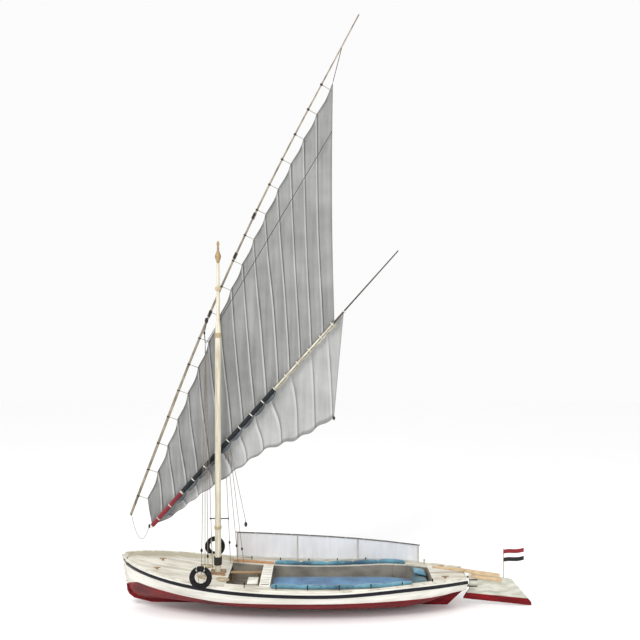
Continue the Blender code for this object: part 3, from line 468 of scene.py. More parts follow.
def block_parts(low, high):
    x0, y0, z0 = low
    x1, y1, z1 = high
    points = [Vector((x, y, z)) for z in (z0, z1) for y in (y0, y1) for x in (x0, x1)]
    faces = [(0, 2, 3, 1), (4, 5, 7, 6), (0, 1, 5, 4), (2, 6, 7, 3), (0, 4, 6, 2), (1, 3, 7, 5)]
    return points, faces


def blocks(name, boxes, material, body, slot, bevel=0.004):
    points, faces = join_parts([block_parts(low, high) for low, high in boxes])
    made = new_piece(name, points, faces, material, None, slot)
    ease = made.modifiers.new("ease", "BEVEL")
    ease.width = bevel
    ease.segments = 2
    bake(made)
    made.data.shade_smooth()
    made.data.set_sharp_from_angle(angle=math.radians(40))
    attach(made, body)
    return made


def helix(centre_at, radius, turns, start, end, steps=10):
    """Turns of rope round a spar whose centre and radius come from functions of the share along it."""
    total = int(turns * steps)
    path = []
    for k in range(total + 1):
        share = start + (end - start) * k / total
        centre, side, up = centre_at(share)
        angle = 2 * math.pi * turns * k / total
        path.append(centre + radius * (math.cos(angle) * side + math.sin(angle) * up))
    return path


# Lines of the boat

def stripe_z(x):
    if x >= -0.90:
        return 0.28 + 0.62 * ((x + 0.90) / (BOW_X + 0.90)) ** 2.2
    share = min((-0.90 - x) / 2.6, 1.0)
    return 0.28 + 0.08 * share * share * (3 - 2 * share)


def rail_z(x):
    return stripe_z(x) + RAIL_STEP


def half_breadth(x):
    if x >= 0.0:
        return 0.03 + 1.57 * max(1.0 - (x / BOW_X) ** 3.2, 0.0) ** 0.65
    return 0.55 + 1.05 * (1.0 - (x / TRANSOM_X) ** 2.4)


def coaming(x):
    return min(1.05, half_breadth(x) - 0.30)


def paint_line(x):
    """Top of the bottom paint: level along the boat, sweeping up under the bow and down again at the stem."""
    if x > 4.4:
        return 0.38 - 0.20 * min((x - 4.4) / 0.45, 1.0) ** 1.5
    if x > 2.0:
        return 0.05 + 0.33 * ((x - 2.0) / 2.4) ** 1.2
    return 0.05 - 0.02 * min(max(-3.3 - x, 0.0) / 1.3, 1.0)


def side_deck_z(x):
    return rail_z(x) - 0.025


def foredeck_z(x, y):
    return rail_z(x) - 0.12 + 0.035 * (1.0 - (y / 1.6) ** 2)


def awning_y(x):
    """Place of the awning's pole across the boat; it follows the rail in straight runs."""
    for fore, aft in zip(AWNING_STATIONS, AWNING_STATIONS[1:]):
        if x >= aft:
            share = (fore - x) / (fore - aft)
            return (AWNING_INSET - half_breadth(fore)) * (1 - share) + (AWNING_INSET - half_breadth(aft)) * share
    return AWNING_INSET - half_breadth(x)


def awning_top(x):
    return AWNING_FORE_Z - AWNING_FALL * (AWNING_STATIONS[0] - x)


def yard_point(share):
    """Centreline of the bent yard in the plane of the sail."""
    straight = YARD_HEEL.lerp(YARD_PEAK, share)
    run = (YARD_PEAK - YARD_HEEL).normalized()
    bow = YARD_SAG * math.sin(math.pi * share) ** 1.1 if 0.0 < share < 1.0 else 0.0
    return straight + bow * Vector((run.y, -run.x))


def yard_run(share):
    return (yard_point(min(share + 0.01, 1.0)) - yard_point(max(share - 0.01, 0.0))).normalized()


def luff_point(share, offset=LUFF_OFFSET):
    run = yard_run(share)
    return yard_point(share) + offset * Vector((-run.y, run.x))


def boom_point(share):
    return BOOM_HEEL.lerp(BOOM_END, share)


def polyline_at(points, share):
    """Point at a share of the length of a run of straight pieces."""
    lengths = [(b - a).length for a, b in zip(points, points[1:])]
    left = share * sum(lengths)
    for a, b, length in zip(points, points[1:], lengths):
        if left <= length:
            return a.lerp(b, left / length)
        left -= length
    return points[-1].copy()


# Cloth

def sheet_from_grid(name, rows, uvs, marks, thickness, material, body):
    """Sheet of cloth over a grid of points, with its cut laid out in the map named cloth."""
    width = len(rows[0])
    points = [p for row in rows for p in row]
    faces = []
    for r in range(len(rows) - 1):
        for c in range(width - 1):
            a = r * width + c
            faces.append((a, a + 1, a + width + 1, a + width))
    mesh = bpy.data.meshes.new(name)
    mesh.from_pydata([tuple(p) for p in points], [], faces)
    layer = mesh.uv_layers.new(name="cloth")
    flat_uv = [uv for row in uvs for uv in row]
    for loop in mesh.loops:
        layer.data[loop.index].uv = flat_uv[loop.vertex_index]
    for key, grid in marks.items():
        layer = mesh.attributes.new(key, "FLOAT", "POINT")
        layer.data.foreach_set("value", [value for row in grid for value in row])
    made = settle(name, mesh, material, None)
    thick = made.modifiers.new("thickness", "SOLIDIFY")
    thick.thickness = thickness
    thick.offset = 0.0
    bake(made)
    made.data.shade_smooth()
    made.data.set_sharp_from_angle(angle=math.radians(60))
    if body:
        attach(made, body)
    return made


def crease(turn):
    """Depth of a worn fold: a narrow valley beside a narrow crown, once in each turn."""
    part = turn - math.floor(turn)
    return math.exp(-((part - 0.06) / 0.05) ** 2) - 0.8 * math.exp(-((part - 0.90) / 0.06) ** 2)


def upper_sail(material):
    """Sail above the boom: scalloped between its lacings, with a fold that falls from each of them."""
    pleats = TIE_COUNT - 1
    across = pleats * 13
    down = 56
    rows, uvs, seam, pleat, folded = [], [], [], [], []
    for r in range(down + 1):
        fall = r / down
        row, line = [], []
        for c in range(across + 1):
            t = c / across
            share = LUFF_START + (LUFF_END - LUFF_START) * t
            between = t * pleats - math.floor(t * pleats)
            scallop = 0.055 * math.sin(math.pi * between ** 1.35)
            top = luff_point(share, LUFF_OFFSET + scallop * (1 - 0.3 * t))
            if t > 0.985:
                top = top.lerp(PEAK_CORNER, (t - 0.985) / 0.015)
            bottom = BOOM_HEEL.lerp(LEECH_BOOM, t)
            place = top.lerp(bottom, fall)
            hollow = 0.05 * math.sin(math.pi * fall) * max(0.0, (t - 0.9) / 0.1)
            belly = 0.10 * math.sin(math.pi * fall ** 0.8) * math.sin(math.pi * min(t * 1.05, 1.0))
            wander = 0.16 * noise.noise(Vector((t * 5.0, fall * 1.6, 2.0)))
            depth = 0.030 * crease(t * pleats + wander) + 0.022 * (1 - math.cos(2 * math.pi * (t * pleats + wander)))
            ripple = 0.012 * noise.noise(Vector((t * 26.0, fall * 3.0, 5.0)))
            y = SAIL_Y - belly - 0.032 - depth - ripple
            if fall in (0.0, 1.0):
                y = SAIL_Y - 0.012
            row.append(Vector((place.x + hollow, y, place.y)))
            line.append((place.x, place.y))
        rows.append(row)
        uvs.append(line)
        seam.append([1.0 if c in (0, across) or r in (0, down) else 0.0 for c in range(across + 1)])
        pleat.append([c / 13 + 0.16 * noise.noise(Vector((c / across * 5.0, fall * 1.6, 2.0)))
                      for c in range(across + 1)])
        # The folded values set how strongly the painted fold shade and highlight show.
        folded.append([1.0 if 6 < c < across - 6 else 0.0 for c in range(across + 1)])
    made = sheet_from_grid("upper_sail_cloth", rows, uvs, {"seam": seam, "pleat": pleat, "folded": folded}, 0.006,
                           material, "rig")
    outline = [luff_point(LUFF_START + (LUFF_END - LUFF_START) * k / 12) for k in range(13)]
    outline += [PEAK_CORNER, LEECH_BOOM, BOOM_HEEL]
    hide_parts("sail_upper")


def lower_sail(material):
    """Skirt of the sail under the boom: it hangs in loose folds to a slack foot."""
    across = 168
    down = 34
    foot = [BOOM_HEEL] + FOOT[::-1] + [CLEW]
    rows, uvs, seam, pleat, folded = [], [], [], [], []
    for r in range(down + 1):
        fall = r / down
        row, line, turns = [], [], []
        for c in range(across + 1):
            t = c / across
            place = BOOM_HEEL.lerp(boom_point(0.78), t).lerp(polyline_at(foot, t), fall)
            turn = t * 11.0 - fall * 0.9 + 0.5 * noise.noise(Vector((t * 4.0, 9.0, fall)))
            wave = math.sin(2 * math.pi * turn)
            loose = fall ** 0.7 * (0.3 + 0.7 * t) * (1 - t ** 16)
            y = SAIL_Y - 0.012 - 0.05 * math.sin(math.pi * fall) - (0.045 * (wave + 1) + 0.03 * crease(turn)) * loose
            row.append(Vector((place.x + 0.02 * wave * loose, min(y, SAIL_Y - 0.006), place.y + 0.03 * wave * loose)))
            line.append((place.x, place.y))
            turns.append(turn + 20.0)
        rows.append(row)
        uvs.append(line)
        seam.append([1.0 if c in (0, across) or r >= down - 1 else 0.0 for c in range(across + 1)])
        pleat.append(turns)
        # The folded values set how strongly the painted fold shade and highlight show.
        folded.append([0.75 * min(fall * 3.0, 1.0)] * (across + 1))
    made = sheet_from_grid("lower_sail_cloth", rows, uvs, {"seam": seam, "pleat": pleat, "folded": folded}, 0.006,
                           material, "rig")
    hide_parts("sail_lower")


def lashed_roll(name, start, end, material, seed, size, drop):
    """Slack cloth gathered under the boom, squeezed at each tie."""
    ties = max(int((end - start) / 0.045), 2)
    steps = ties * 8
    path = []
    radii = []
    for k in range(steps + 1):
        share = start + (end - start) * k / steps
        squeeze = abs(math.sin(math.pi * ties * k / steps)) ** 0.6
        sag = drop * (0.55 + 0.45 * squeeze) + 0.01 * noise.noise(Vector((share * 60, seed, 0)))
        point = boom_point(share)
        path.append((point.x - 0.4 * sag, BOOM_Y + 0.03, point.y - sag))
        radii.append(size * (0.42 + 0.58 * squeeze) * (1 + 0.2 * noise.noise(Vector((share * 90, seed, 3)))))
    return tubes(name, [path], radii, material, "rig", "sail_cloth", 12)


def boom_wrap(name, start, end, material, thick):
    """Cloth wound round the boom."""
    steps = max(int((end - start) * 90), 6)
    path = []
    radii = []
    for k in range(steps + 1):
        share = start + (end - start) * k / steps
        point = boom_point(share)
        path.append((point.x, BOOM_Y, point.y))
        radii.append(BOOM_RADIUS + thick * (0.55 + 0.45 * abs(math.sin(share * 130.0))))
    return tubes(name, [path], radii, material, "rig", "sail_cloth", 14)


def awning_sheet(material):
    """Side awning: taut along its pole, lightly creased, its hem a little slack between ties."""
    across = 96
    down = 14
    fore = AWNING_STATIONS[0] - 0.02
    aft = AWNING_STATIONS[-1] + 0.02
    rows, uvs, seam, pleat, folded = [], [], [], [], []
    for r in range(down + 1):
        fall = r / down
        row, line = [], []
        for c in range(across + 1):
            t = c / across
            x = fore + (aft - fore) * t
            top = awning_top(x)
            foot = side_deck_z(x) + 0.055
            z = top + (foot - top) * fall + 0.012 * math.sin(math.pi * 12 * t) ** 2 * fall
            wave = 0.010 * math.sin(2 * math.pi * (t * 9.0 + 0.3 * fall)) * fall
            y = awning_y(x) - AWNING_POLE * 1.05 - 0.0045 - abs(wave)
            row.append(Vector((x, y, z)))
            line.append((x, z))
        rows.append(row)
        uvs.append(line)
        seam.append([1.0 if r in (0, down) else 0.0] * (across + 1))
        pleat.append([c / across * 9.0 + 0.3 * fall for c in range(across + 1)])
        # The folded values set how strongly the painted fold shade and highlight show.
        folded.append([0.12 * fall] * (across + 1))
    made = sheet_from_grid("side_awning_cloth", rows, uvs, {"seam": seam, "pleat": pleat, "folded": folded}, 0.004,
                           material, "hull")
    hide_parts("awning_curtain")


def flag_cloth(material):
    """Small flag that waves a little behind its staff."""
    low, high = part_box("flag")
    rows, uvs, seam = [], [], []
    for r in range(13):
        fall = r / 12
        row, line = [], []
        for c in range(31):
            t = c / 30
            x = high.x + (low.x - high.x) * t
            z = FLAG_TOP + 0.04 * t - FLAG_DEPTH * fall + 0.018 * math.sin(7.5 * t + 0.4) * min(t * 4, 1)
            y = 0.035 * math.sin(9.0 * t) * min(t * 3, 1)
            row.append(Vector((x, y, z)))
            line.append((t, 1 - fall))
        rows.append(row)
        uvs.append(line)
        seam.append([0.0] * 31)
    made = sheet_from_grid("striped_flag", rows, uvs, {"seam": seam}, 0.003, material, "rudder")
    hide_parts("flag")


# Cushions

def crowned_pad(name, corners, low, high, crown, material, quilting=0, steps=(60, 30)):
    """Stuffed pad over a plan given by its half-width along X, crowned on top and drawn in at the seams."""
    x0, x1, half_at = corners
    nx, ny = steps
    points = []
    for r in range(nx + 1):
        u = r / nx
        x = x0 + (x1 - x0) * u
        for c in range(ny + 1):
            v = c / ny
            y = half_at(x) * (2 * v - 1)
            edge = (1 - abs(2 * u - 1) ** 10) * (1 - abs(2 * v - 1) ** 10)
            swell = (math.sin(math.pi * u) * math.sin(math.pi * v)) ** 0.25
            dent = 0.0
            if quilting:
                dent = (1 - abs(math.sin(math.pi * quilting * u)) ** 0.35) * 0.7
            rough = noise.noise(Vector((x * 2.2, y * 2.2, low * 7))) * 0.25
            top = high - crown + crown * swell * (1 - dent) * (1 + rough) * 0.85
            z = low + 0.3 * (high - low) + (top - low - 0.3 * (high - low)) * edge ** 0.35
            points.append(Vector((x, y, min(z, high))))
    faces = []
    width = ny + 1
    for r in range(nx):
        for c in range(ny):
            a = r * width + c
            faces.append((a, a + width, a + width + 1, a + 1))
    base = len(points)
    points.extend(Vector((p.x, p.y, low)) for p in points[:base])
    for r in range(nx):
        for c in range(ny):
            a = base + r * width + c
            faces.append((a, a + 1, a + width + 1, a + width))
    rim = [c for c in range(ny + 1)] + [r * width + ny for r in range(1, nx + 1)]
    rim += [nx * width + c for c in range(ny - 1, -1, -1)] + [r * width for r in range(nx - 1, 0, -1)]
    for a, b in zip(rim, rim[1:] + rim[:1]):
        faces.append((a, b, b + base, a + base))
    mesh = bpy.data.meshes.new(name)
    mesh.from_pydata([tuple(p) for p in points], [], faces)
    outward(mesh)
    made = settle(name, mesh, material, "hull")
    return made


def bolster_row(side, material):
    """Sewn row of bolsters along the side deck: each is tight in the middle and gathered at its ends."""
    parts = 5
    word = "port" if side > 0 else "starboard"
    steps = parts * 14
    ring = 20
    points = []
    for k in range(steps + 1):
        x = 0.62 + (-3.30 - 0.62) * k / steps
        phase = abs(math.sin(math.pi * parts * k / steps)) ** 0.35
        middle = coaming(x) + 0.11
        half = 0.10 * (0.60 + 0.40 * phase)
        tall = 0.108 * (0.62 + 0.38 * phase)
        floor = rail_z(x) - 0.022
        for j in range(ring):
            angle = 2 * math.pi * j / ring
            sy = math.copysign(abs(math.cos(angle)) ** 0.75, math.cos(angle))
            sz = math.copysign(abs(math.sin(angle)) ** 0.75, math.sin(angle))
            gather = 1 + 0.03 * math.sin(j * 5.0) * (1 - phase)
            points.append(Vector((x, side * (middle + half * sy * gather), floor + tall * (0.5 + 0.5 * sz))))
    faces = []
    for k in range(steps):
        for j in range(ring):
            a = k * ring + j
            b = k * ring + (j + 1) % ring
            faces.append((a, b, b + ring, a + ring))
    faces.append(tuple(range(ring)))
    faces.append(tuple(range(len(points) - ring, len(points))))
    mesh = bpy.data.meshes.new("bolster")
    mesh.from_pydata([tuple(p) for p in points], [], faces)
    outward(mesh)
    made = settle("bolster_row_" + word, mesh, material, "hull")
    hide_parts("bolster_" + word)
    return made


# Repeats made with Geometry Nodes

def path_instances(name, path, make_shape, count, material, body):
    """Copies of a small shape spaced evenly along a path by a Geometry Nodes tree."""
    line = bpy.data.curves.new(name + "_path", "CURVE")
    line.dimensions = "3D"
    spline = line.splines.new("POLY")
    spline.points.add(len(path) - 1)
    for point, place in zip(spline.points, path):
        point.co = (*place, 1.0)
    carrier = bpy.data.objects.new(name, bpy.data.meshes.new(name))
    guide = bpy.data.objects.new(name + "_guide", line)
    shape = bpy.data.objects.new(name + "_shape", make_shape())
    for item in (carrier, guide, shape):
        bpy.context.scene.collection.objects.link(item)
    tree = bpy.data.node_groups.new(name + "_along_path", "GeometryNodeTree")
    tree.interface.new_socket("Geometry", in_out="INPUT", socket_type="NodeSocketGeometry")
    amount = tree.interface.new_socket("Count", in_out="INPUT", socket_type="NodeSocketInt")
    tree.interface.new_socket("Geometry", in_out="OUTPUT", socket_type="NodeSocketGeometry")
    entry = add_node(tree, "NodeGroupInput")
    source = add_node(tree, "GeometryNodeObjectInfo", {"Object": guide}, transform_space="RELATIVE")
    spaced = add_node(tree, "GeometryNodeCurveToPoints", links={"Curve": source.outputs["Geometry"],
                                                                "Count": entry.outputs["Count"]}, mode="COUNT")
    item = add_node(tree, "GeometryNodeObjectInfo", {"Object": shape})
    copies = add_node(tree, "GeometryNodeInstanceOnPoints",
                      links={"Points": spaced.outputs["Points"], "Instance": item.outputs["Geometry"],
                             "Rotation": spaced.outputs["Rotation"]})
    real = add_node(tree, "GeometryNodeRealizeInstances", links={"Geometry": copies.outputs["Instances"]})
    coloured = add_node(tree, "GeometryNodeSetMaterial", {"Material": material},
                        {"Geometry": real.outputs["Geometry"]})
    add_node(tree, "NodeGroupOutput", links={"Geometry": coloured.outputs["Geometry"]})
    maker = carrier.modifiers.new("along_path", "NODES")
    maker.node_group = tree
    maker[amount.identifier] = count
    bake(carrier)
    for item in (guide, shape):
        bpy.data.objects.remove(item)
    outward(carrier.data)
    carrier.data.shade_smooth()
    carrier.data.set_sharp_from_angle(angle=math.radians(40))
    if not carrier.data.materials:
        carrier.data.materials.append(material)
    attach(carrier, body)
    return carrier


def band_shape(radius, width, sides=12):
    """Short collar of cord about the path."""
    def make():
        mesh = bpy.data.meshes.new("band")
        work = bmesh.new()
        bmesh.ops.create_cone(work, cap_ends=True, segments=sides, radius1=radius, radius2=radius, depth=width)
        bmesh.ops.bevel(work, geom=[e for e in work.edges if abs(e.verts[0].co.z - e.verts[1].co.z) < 1e-6],
                        offset=width * 0.25, segments=2, affect="EDGES")
        work.to_mesh(mesh)
        work.free()
        return mesh
    return make


# The boat's pieces

def dress_hull(paint, stripe, keel_paint):
    """Planking with the values its paint reads: place across the planks, stripe, water line and inner face."""
    made = smooth_node("hull_shell", paint, "hull")
    mesh = made.data
    work = bmesh.new()
    work.from_mesh(mesh)
    bmesh.ops.triangulate(work, faces=work.faces)
    bmesh.ops.subdivide_edges(work, edges=work.edges, cuts=2, use_grid_fill=True)
    work.to_mesh(mesh)
    work.free()
    marks = {"run": [], "above": [], "inner": [], "stripe": []}
    for vertex in mesh.vertices:
        x, y, z = vertex.co
        low = -0.30 if x > -3.3 else -0.33 + 0.37 * min((-3.3 - x) / 1.63, 1.0)
        inside = vertex.normal.y * y < 0 and abs(y) > 0.05
        marks["run"].append((z - low) / (rail_z(x) - low))
        marks["above"].append(z - paint_line(x))
        # The inner mark tells the paint which faces get the painted shade and no stripe.
        marks["inner"].append(1.0 if inside else 0.0)
        marks["stripe"].append(1.0 if inside else abs(z - stripe_z(x)))
    for key, values in marks.items():
        mesh.attributes.new(key, "FLOAT", "POINT").data.foreach_set("value", values)
    for word in ("port", "starboard"):
        smooth_node("sheer_strake_" + word, stripe, "hull", 0.006)
    smooth_node("stem_and_keel", keel_paint, "hull", 0.006)


def rail_cap(material):
    """Rounded cap along the top of the planking on both sides."""
    paths = []
    for side in (1, -1):
        path = []
        for k in range(61):
            x = TRANSOM_X + 0.02 + (BOW_X - 0.06 - TRANSOM_X) * (1 - (1 - k / 60) ** 1.4)
            path.append((x, side * max(half_breadth(x) - 0.016, 0.03), rail_z(x) + 0.006))
        paths.append(path)
    tubes("rail_cap", paths, 0.026, material, "hull", "hull_paint", 10)


def tyre_dressing(side, rope, tyre):
    """Tread blocks and hanging rope of a fender tyre."""
    word = "port" if side > 0 else "starboard"
    low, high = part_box("tyre_" + word)
    centre = (low + high) / 2
    width = high.y - low.y
    ring = 24
    turns = 72
    points = []
    faces = []
    radius = (high.z - low.z) / 2
    for k in range(turns):
        angle = 2 * math.pi * k / turns
        for j in range(ring):
            around = 2 * math.pi * j / ring
            depth = 0.5 * width * math.copysign(abs(math.sin(around)) ** 0.7, math.sin(around))
            out = math.copysign(abs(math.cos(around)) ** 0.75, math.cos(around))
            tread = 0.006 if (k % 2 and out > 0.6) else 0.0
            middle = (radius + 0.165) / 2
            reach = middle + (radius - middle - tread) * out
            points.append(Vector((centre.x + reach * math.cos(angle), centre.y + depth,
                                  centre.z + reach * math.sin(angle))))
    for k in range(turns):
        for j in range(ring):
            a = k * ring + j
            b = k * ring + (j + 1) % ring
            c = ((k + 1) % turns) * ring + (j + 1) % ring
            d = ((k + 1) % turns) * ring + j
            faces.append((a, b, c, d))
    mesh = bpy.data.meshes.new("fender_tyre_" + word)
    mesh.from_pydata([tuple(p) for p in points], [], faces)
    outward(mesh)
    made = settle("fender_tyre_" + word, mesh, tyre, "hull")
    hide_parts("tyre_" + word)
    beads = []
    for bead in (0.185, 0.225):
        path = [(centre.x + bead * math.cos(2 * math.pi * k / 40), centre.y + side * width * 0.42,
                 centre.z + bead * math.sin(2 * math.pi * k / 40)) for k in range(41)]
        beads.append(path)
    tubes("tyre_bead_" + word, beads, 0.007, tyre, "hull", "tyre_rubber", 6)
    inner_y = centre.y - side * width * 0.5
    hangs = []
    for x in (centre.x - 0.11, centre.x + 0.11):
        end = Vector((x * 0.55 + centre.x * 0.45, side * (half_breadth(x) - 0.03), rail_z(x) + 0.01))
        hangs.append([(centre.x, centre.y, centre.z + 0.16), (x, inner_y + side * 0.17, centre.z + 0.21),
                      (x, inner_y + side * 0.10, centre.z + 0.335), (x, inner_y - side * 0.03, centre.z + 0.20),
                      tuple(end)])
    tubes("tyre_lanyard_" + word, hangs, 0.011, rope, "hull", "rope", 8)


def mast_gear(rope, dark, iron, wood):
    """Rope turns, belaying bar, partners and coils about the foot of the mast."""
    def around(height):
        return Vector((MAST_X, 0, height)), Vector((1, 0, 0)), Vector((0, 1, 0))
    turns = [helix(around, 0.098, 5, 1.76, 1.84), helix(around, 0.092, 7, 7.30, 7.44)]
    tubes("mast_seizings", turns, 0.010, rope, "hull", "rope", 6)
    tubes("mast_foot_lashing", [helix(around, 0.103, 9, 0.72, 0.95)], 0.016, dark, "hull", "rope", 8)
    tubes("belaying_bar", [[(MAST_X - 0.30, 0.0, 2.05), (MAST_X + 0.22, 0.0, 2.05)]], 0.016, iron, "hull", "iron", 10)
    knobs = [tube_parts([(x + h, 0, 2.05) for h in (-0.02, -0.01, 0.01, 0.02)], [0.012, 0.028, 0.028, 0.012], 10)
             for x in (MAST_X - 0.30, MAST_X + 0.22)]
    new_piece("belaying_bar_knobs", *join_parts(knobs), iron, "hull", "iron")
    low = rail_z(MAST_X) - 0.115
    high = rail_z(MAST_X) - 0.025
    blocks("mast_partner", [((MAST_X - 0.22, -0.20, low), (MAST_X + 0.22, -0.096, high)),
                            ((MAST_X - 0.22, 0.096, low), (MAST_X + 0.22, 0.20, high)),
                            ((MAST_X + 0.096, -0.095, low), (MAST_X + 0.20, 0.095, high)),
                            ((MAST_X - 0.20, -0.095, low), (MAST_X - 0.096, 0.095, high))], wood, "hull", "bare_wood")
    for name, x, y in (("near_fore", 2.52, 0.52), ("near_aft", 2.02, 0.55), ("far", 2.60, -0.55)):
        rope_coil("deck_coil_" + name, x, y, foredeck_z, rope)


def rope_coil(name, x, y, lying_z, rope, turns=4, inner=0.09, thick=0.024):
    """Flat coil of a line's spare end: turns side by side on the deck, as they are left after sailing."""
    path = []
    for step in range(turns * 16 + 1):
        angle = 2 * math.pi * step / 16
        spread = inner + thick * 1.04 * step / 16
        here = (x + spread * math.cos(angle), y + spread * math.sin(angle))
        path.append((*here, lying_z(*here) + thick / 2))
    made = tubes(name, [path], thick / 2, rope, "hull", "rope", 8)


def pulley(centre, size):
    """Egg-shaped rope block."""
    x, y, z = centre
    path = [(x, y, z - size + 2 * size * k / 10) for k in range(11)]
    radii = [max(size * 0.62 * math.sin(math.pi * (k + 0.35) / 10.7) ** 0.6, 0.008) for k in range(11)]
    return tube_parts(path, radii, 12)


def between(start, end, count=20):
    """Straight line from start to end, in even steps."""
    return [Vector(start).lerp(Vector(end), k / count) for k in range(count + 1)]


def rigging(line, dark):
    """Halyard falls, guys, brail and tack line, with their blocks, a knot at each sail corner, a hanging fall and a
    peak lashing.
    """
    sling = yard_point(BLOCK_SHARE)
    parts = [pulley((sling.x, YARD_Y + 0.075, sling.y), 0.085), pulley((2.63, -0.10, 7.43), 0.05)]
    new_piece("halyard_blocks", *join_parts(parts), dark, "rig", "iron")
    head = Vector((2.60, -0.08, 7.14))
    strop = [(sling.x, YARD_Y + 0.075, sling.y - 0.06), (2.63, -0.10, 7.43), tuple(head)]
    tubes("halyard_strop", [strop], 0.012, dark, "rig", "rope", 6)
    feet = ((2.66, 0.30), (2.54, 0.42), (2.46, 0.34), (2.345, 0.22))
    falls = [between(head, (x, y, foredeck_z(x, y)), 24) for x, y in feet]
    made = tubes("halyard_falls", falls, 0.0085, line, None, "rope", 6)
    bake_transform(made)
    fixed = [pulley((2.655, 0.285, 1.20), 0.06), pulley((2.475, 0.325, 1.05), 0.055)]
    guys = []
    for x_top, x_foot, z_top, height in ((2.05, 1.95, 4.20, 1.15), (1.98, 1.72, 4.10, 1.05), (1.90, 1.55, 4.00, 0.95)):
        foot = Vector((x_foot, -0.90, rail_z(x_foot) - 0.02))
        top = Vector((x_top, BOOM_Y - 0.04, z_top))
        guys.append(between(foot, top, 20))
        fixed.append(pulley(tuple(foot.lerp(top, (height - foot.z) / (top.z - foot.z))), 0.05))
    made = tubes("boom_guys", guys, 0.008, line, None, "rope", 6)
    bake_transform(made)
    new_piece("deck_blocks", *join_parts(fixed), dark, "hull", "iron")
    brail = between((2.58, YARD_Y + 0.06, 7.14), (-1.10, SAIL_Y + 0.03, 13.35), 24)
    tubes("brail_line", [brail], 0.009, dark, "rig", "rope", 6)
    heel = yard_point(0.0)
    loop = []
    for k in range(25):
        share = k / 24
        point = heel.lerp(Vector((4.25, 1.80)), share)
        loop.append((point.x, YARD_Y - 0.015 * share, point.y - 0.55 * 4 * share * (1 - share)))
    made = tubes("tack_line", [loop], 0.007, line, "rig", "rope", 6)
    knots = [pulley((heel.x, YARD_Y, heel.y), 0.055), pulley((4.25, YARD_Y - 0.015, 1.78), 0.06),
             pulley((CLEW.x, SAIL_Y, CLEW.y), 0.06)]
    new_piece("corner_knots", *join_parts(knots), dark, "rig", "rope")
    top = boom_point(0.3126)
    fall = between((top.x, BOOM_Y, top.y), (1.43, BOOM_Y, 1.90), 20)
    made = tubes("hanging_fall", [fall], 0.008, line, "rig", "rope", 6)
    block = new_piece("hanging_block", *pulley((1.43, BOOM_Y, 1.83), 0.075), dark, "rig", "iron")
    peak = yard_point(0.935)
    lashing = between((PEAK_CORNER.x, SAIL_Y, PEAK_CORNER.y), (peak.x, YARD_Y, peak.y), 6)
    tubes("peak_lashing", [lashing], 0.010, dark, "rig", "rope", 6)


def spar_dressing(red, black, slate, pale, tie_cord, dark_cord):
    """Wraps, ties and seizings on the boom and the yard."""
    boom_wrap("red_boom_wrap", 0.005, 0.125, red, 0.018)
    boom_wrap("black_boom_wrap", 0.128, 0.50, black, 0.016)
    lashed_roll("dark_cloth_roll", 0.05, 0.50, slate, 1.0, 0.045, 0.12)
    lashed_roll("pale_cloth_roll", 0.505, 0.76, pale, 4.0, 0.030, 0.08)
    path = [(boom_point(s).x, BOOM_Y, boom_point(s).y) for s in (0.03, 0.78)]
    path_instances("boom_ties", path, band_shape(0.073, 0.030), 17, tie_cord, "rig")
    shares = [LUFF_START + (LUFF_END - LUFF_START) * k / 48 for k in range(49)]
    path = [(yard_point(share).x, YARD_Y, yard_point(share).y) for share in shares]
    path_instances("yard_seizings", path, band_shape(0.044, 0.075), TIE_COUNT, dark_cord, "rig")

    def along(share):
        run = yard_run(share)
        centre = Vector((yard_point(share).x, YARD_Y, yard_point(share).y))
        return centre, Vector((0, 1, 0)), Vector((-run.y, 0, run.x))
    splices = [helix(along, 0.046, 10, first, first + 0.012) for first in (0.385, 0.50, 0.58)]
    tubes("yard_splice_turns", splices, 0.007, dark_cord, "rig", "rope", 6)


def prism(name, outline, low_y, high_y, material, body, slot, bevel=0.004):
    """Flat shape in the boat's side view, given as points of X and Z, with square sides across the boat."""
    count = len(outline)
    points = [Vector((x, y, z)) for y in (low_y, high_y) for x, z in outline]
    faces = [tuple(range(count)), tuple(range(2 * count - 1, count - 1, -1))]
    faces += [(k, (k + 1) % count, count + (k + 1) % count, count + k) for k in range(count)]
    made = new_piece(name, points, faces, material, None, slot)
    outward(made.data)
    ease = made.modifiers.new("ease", "BEVEL")
    ease.width = bevel
    ease.segments = 2
    bake(made)
    made.data.shade_smooth()
    made.data.set_sharp_from_angle(angle=math.radians(40))
    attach(made, body)
    return made


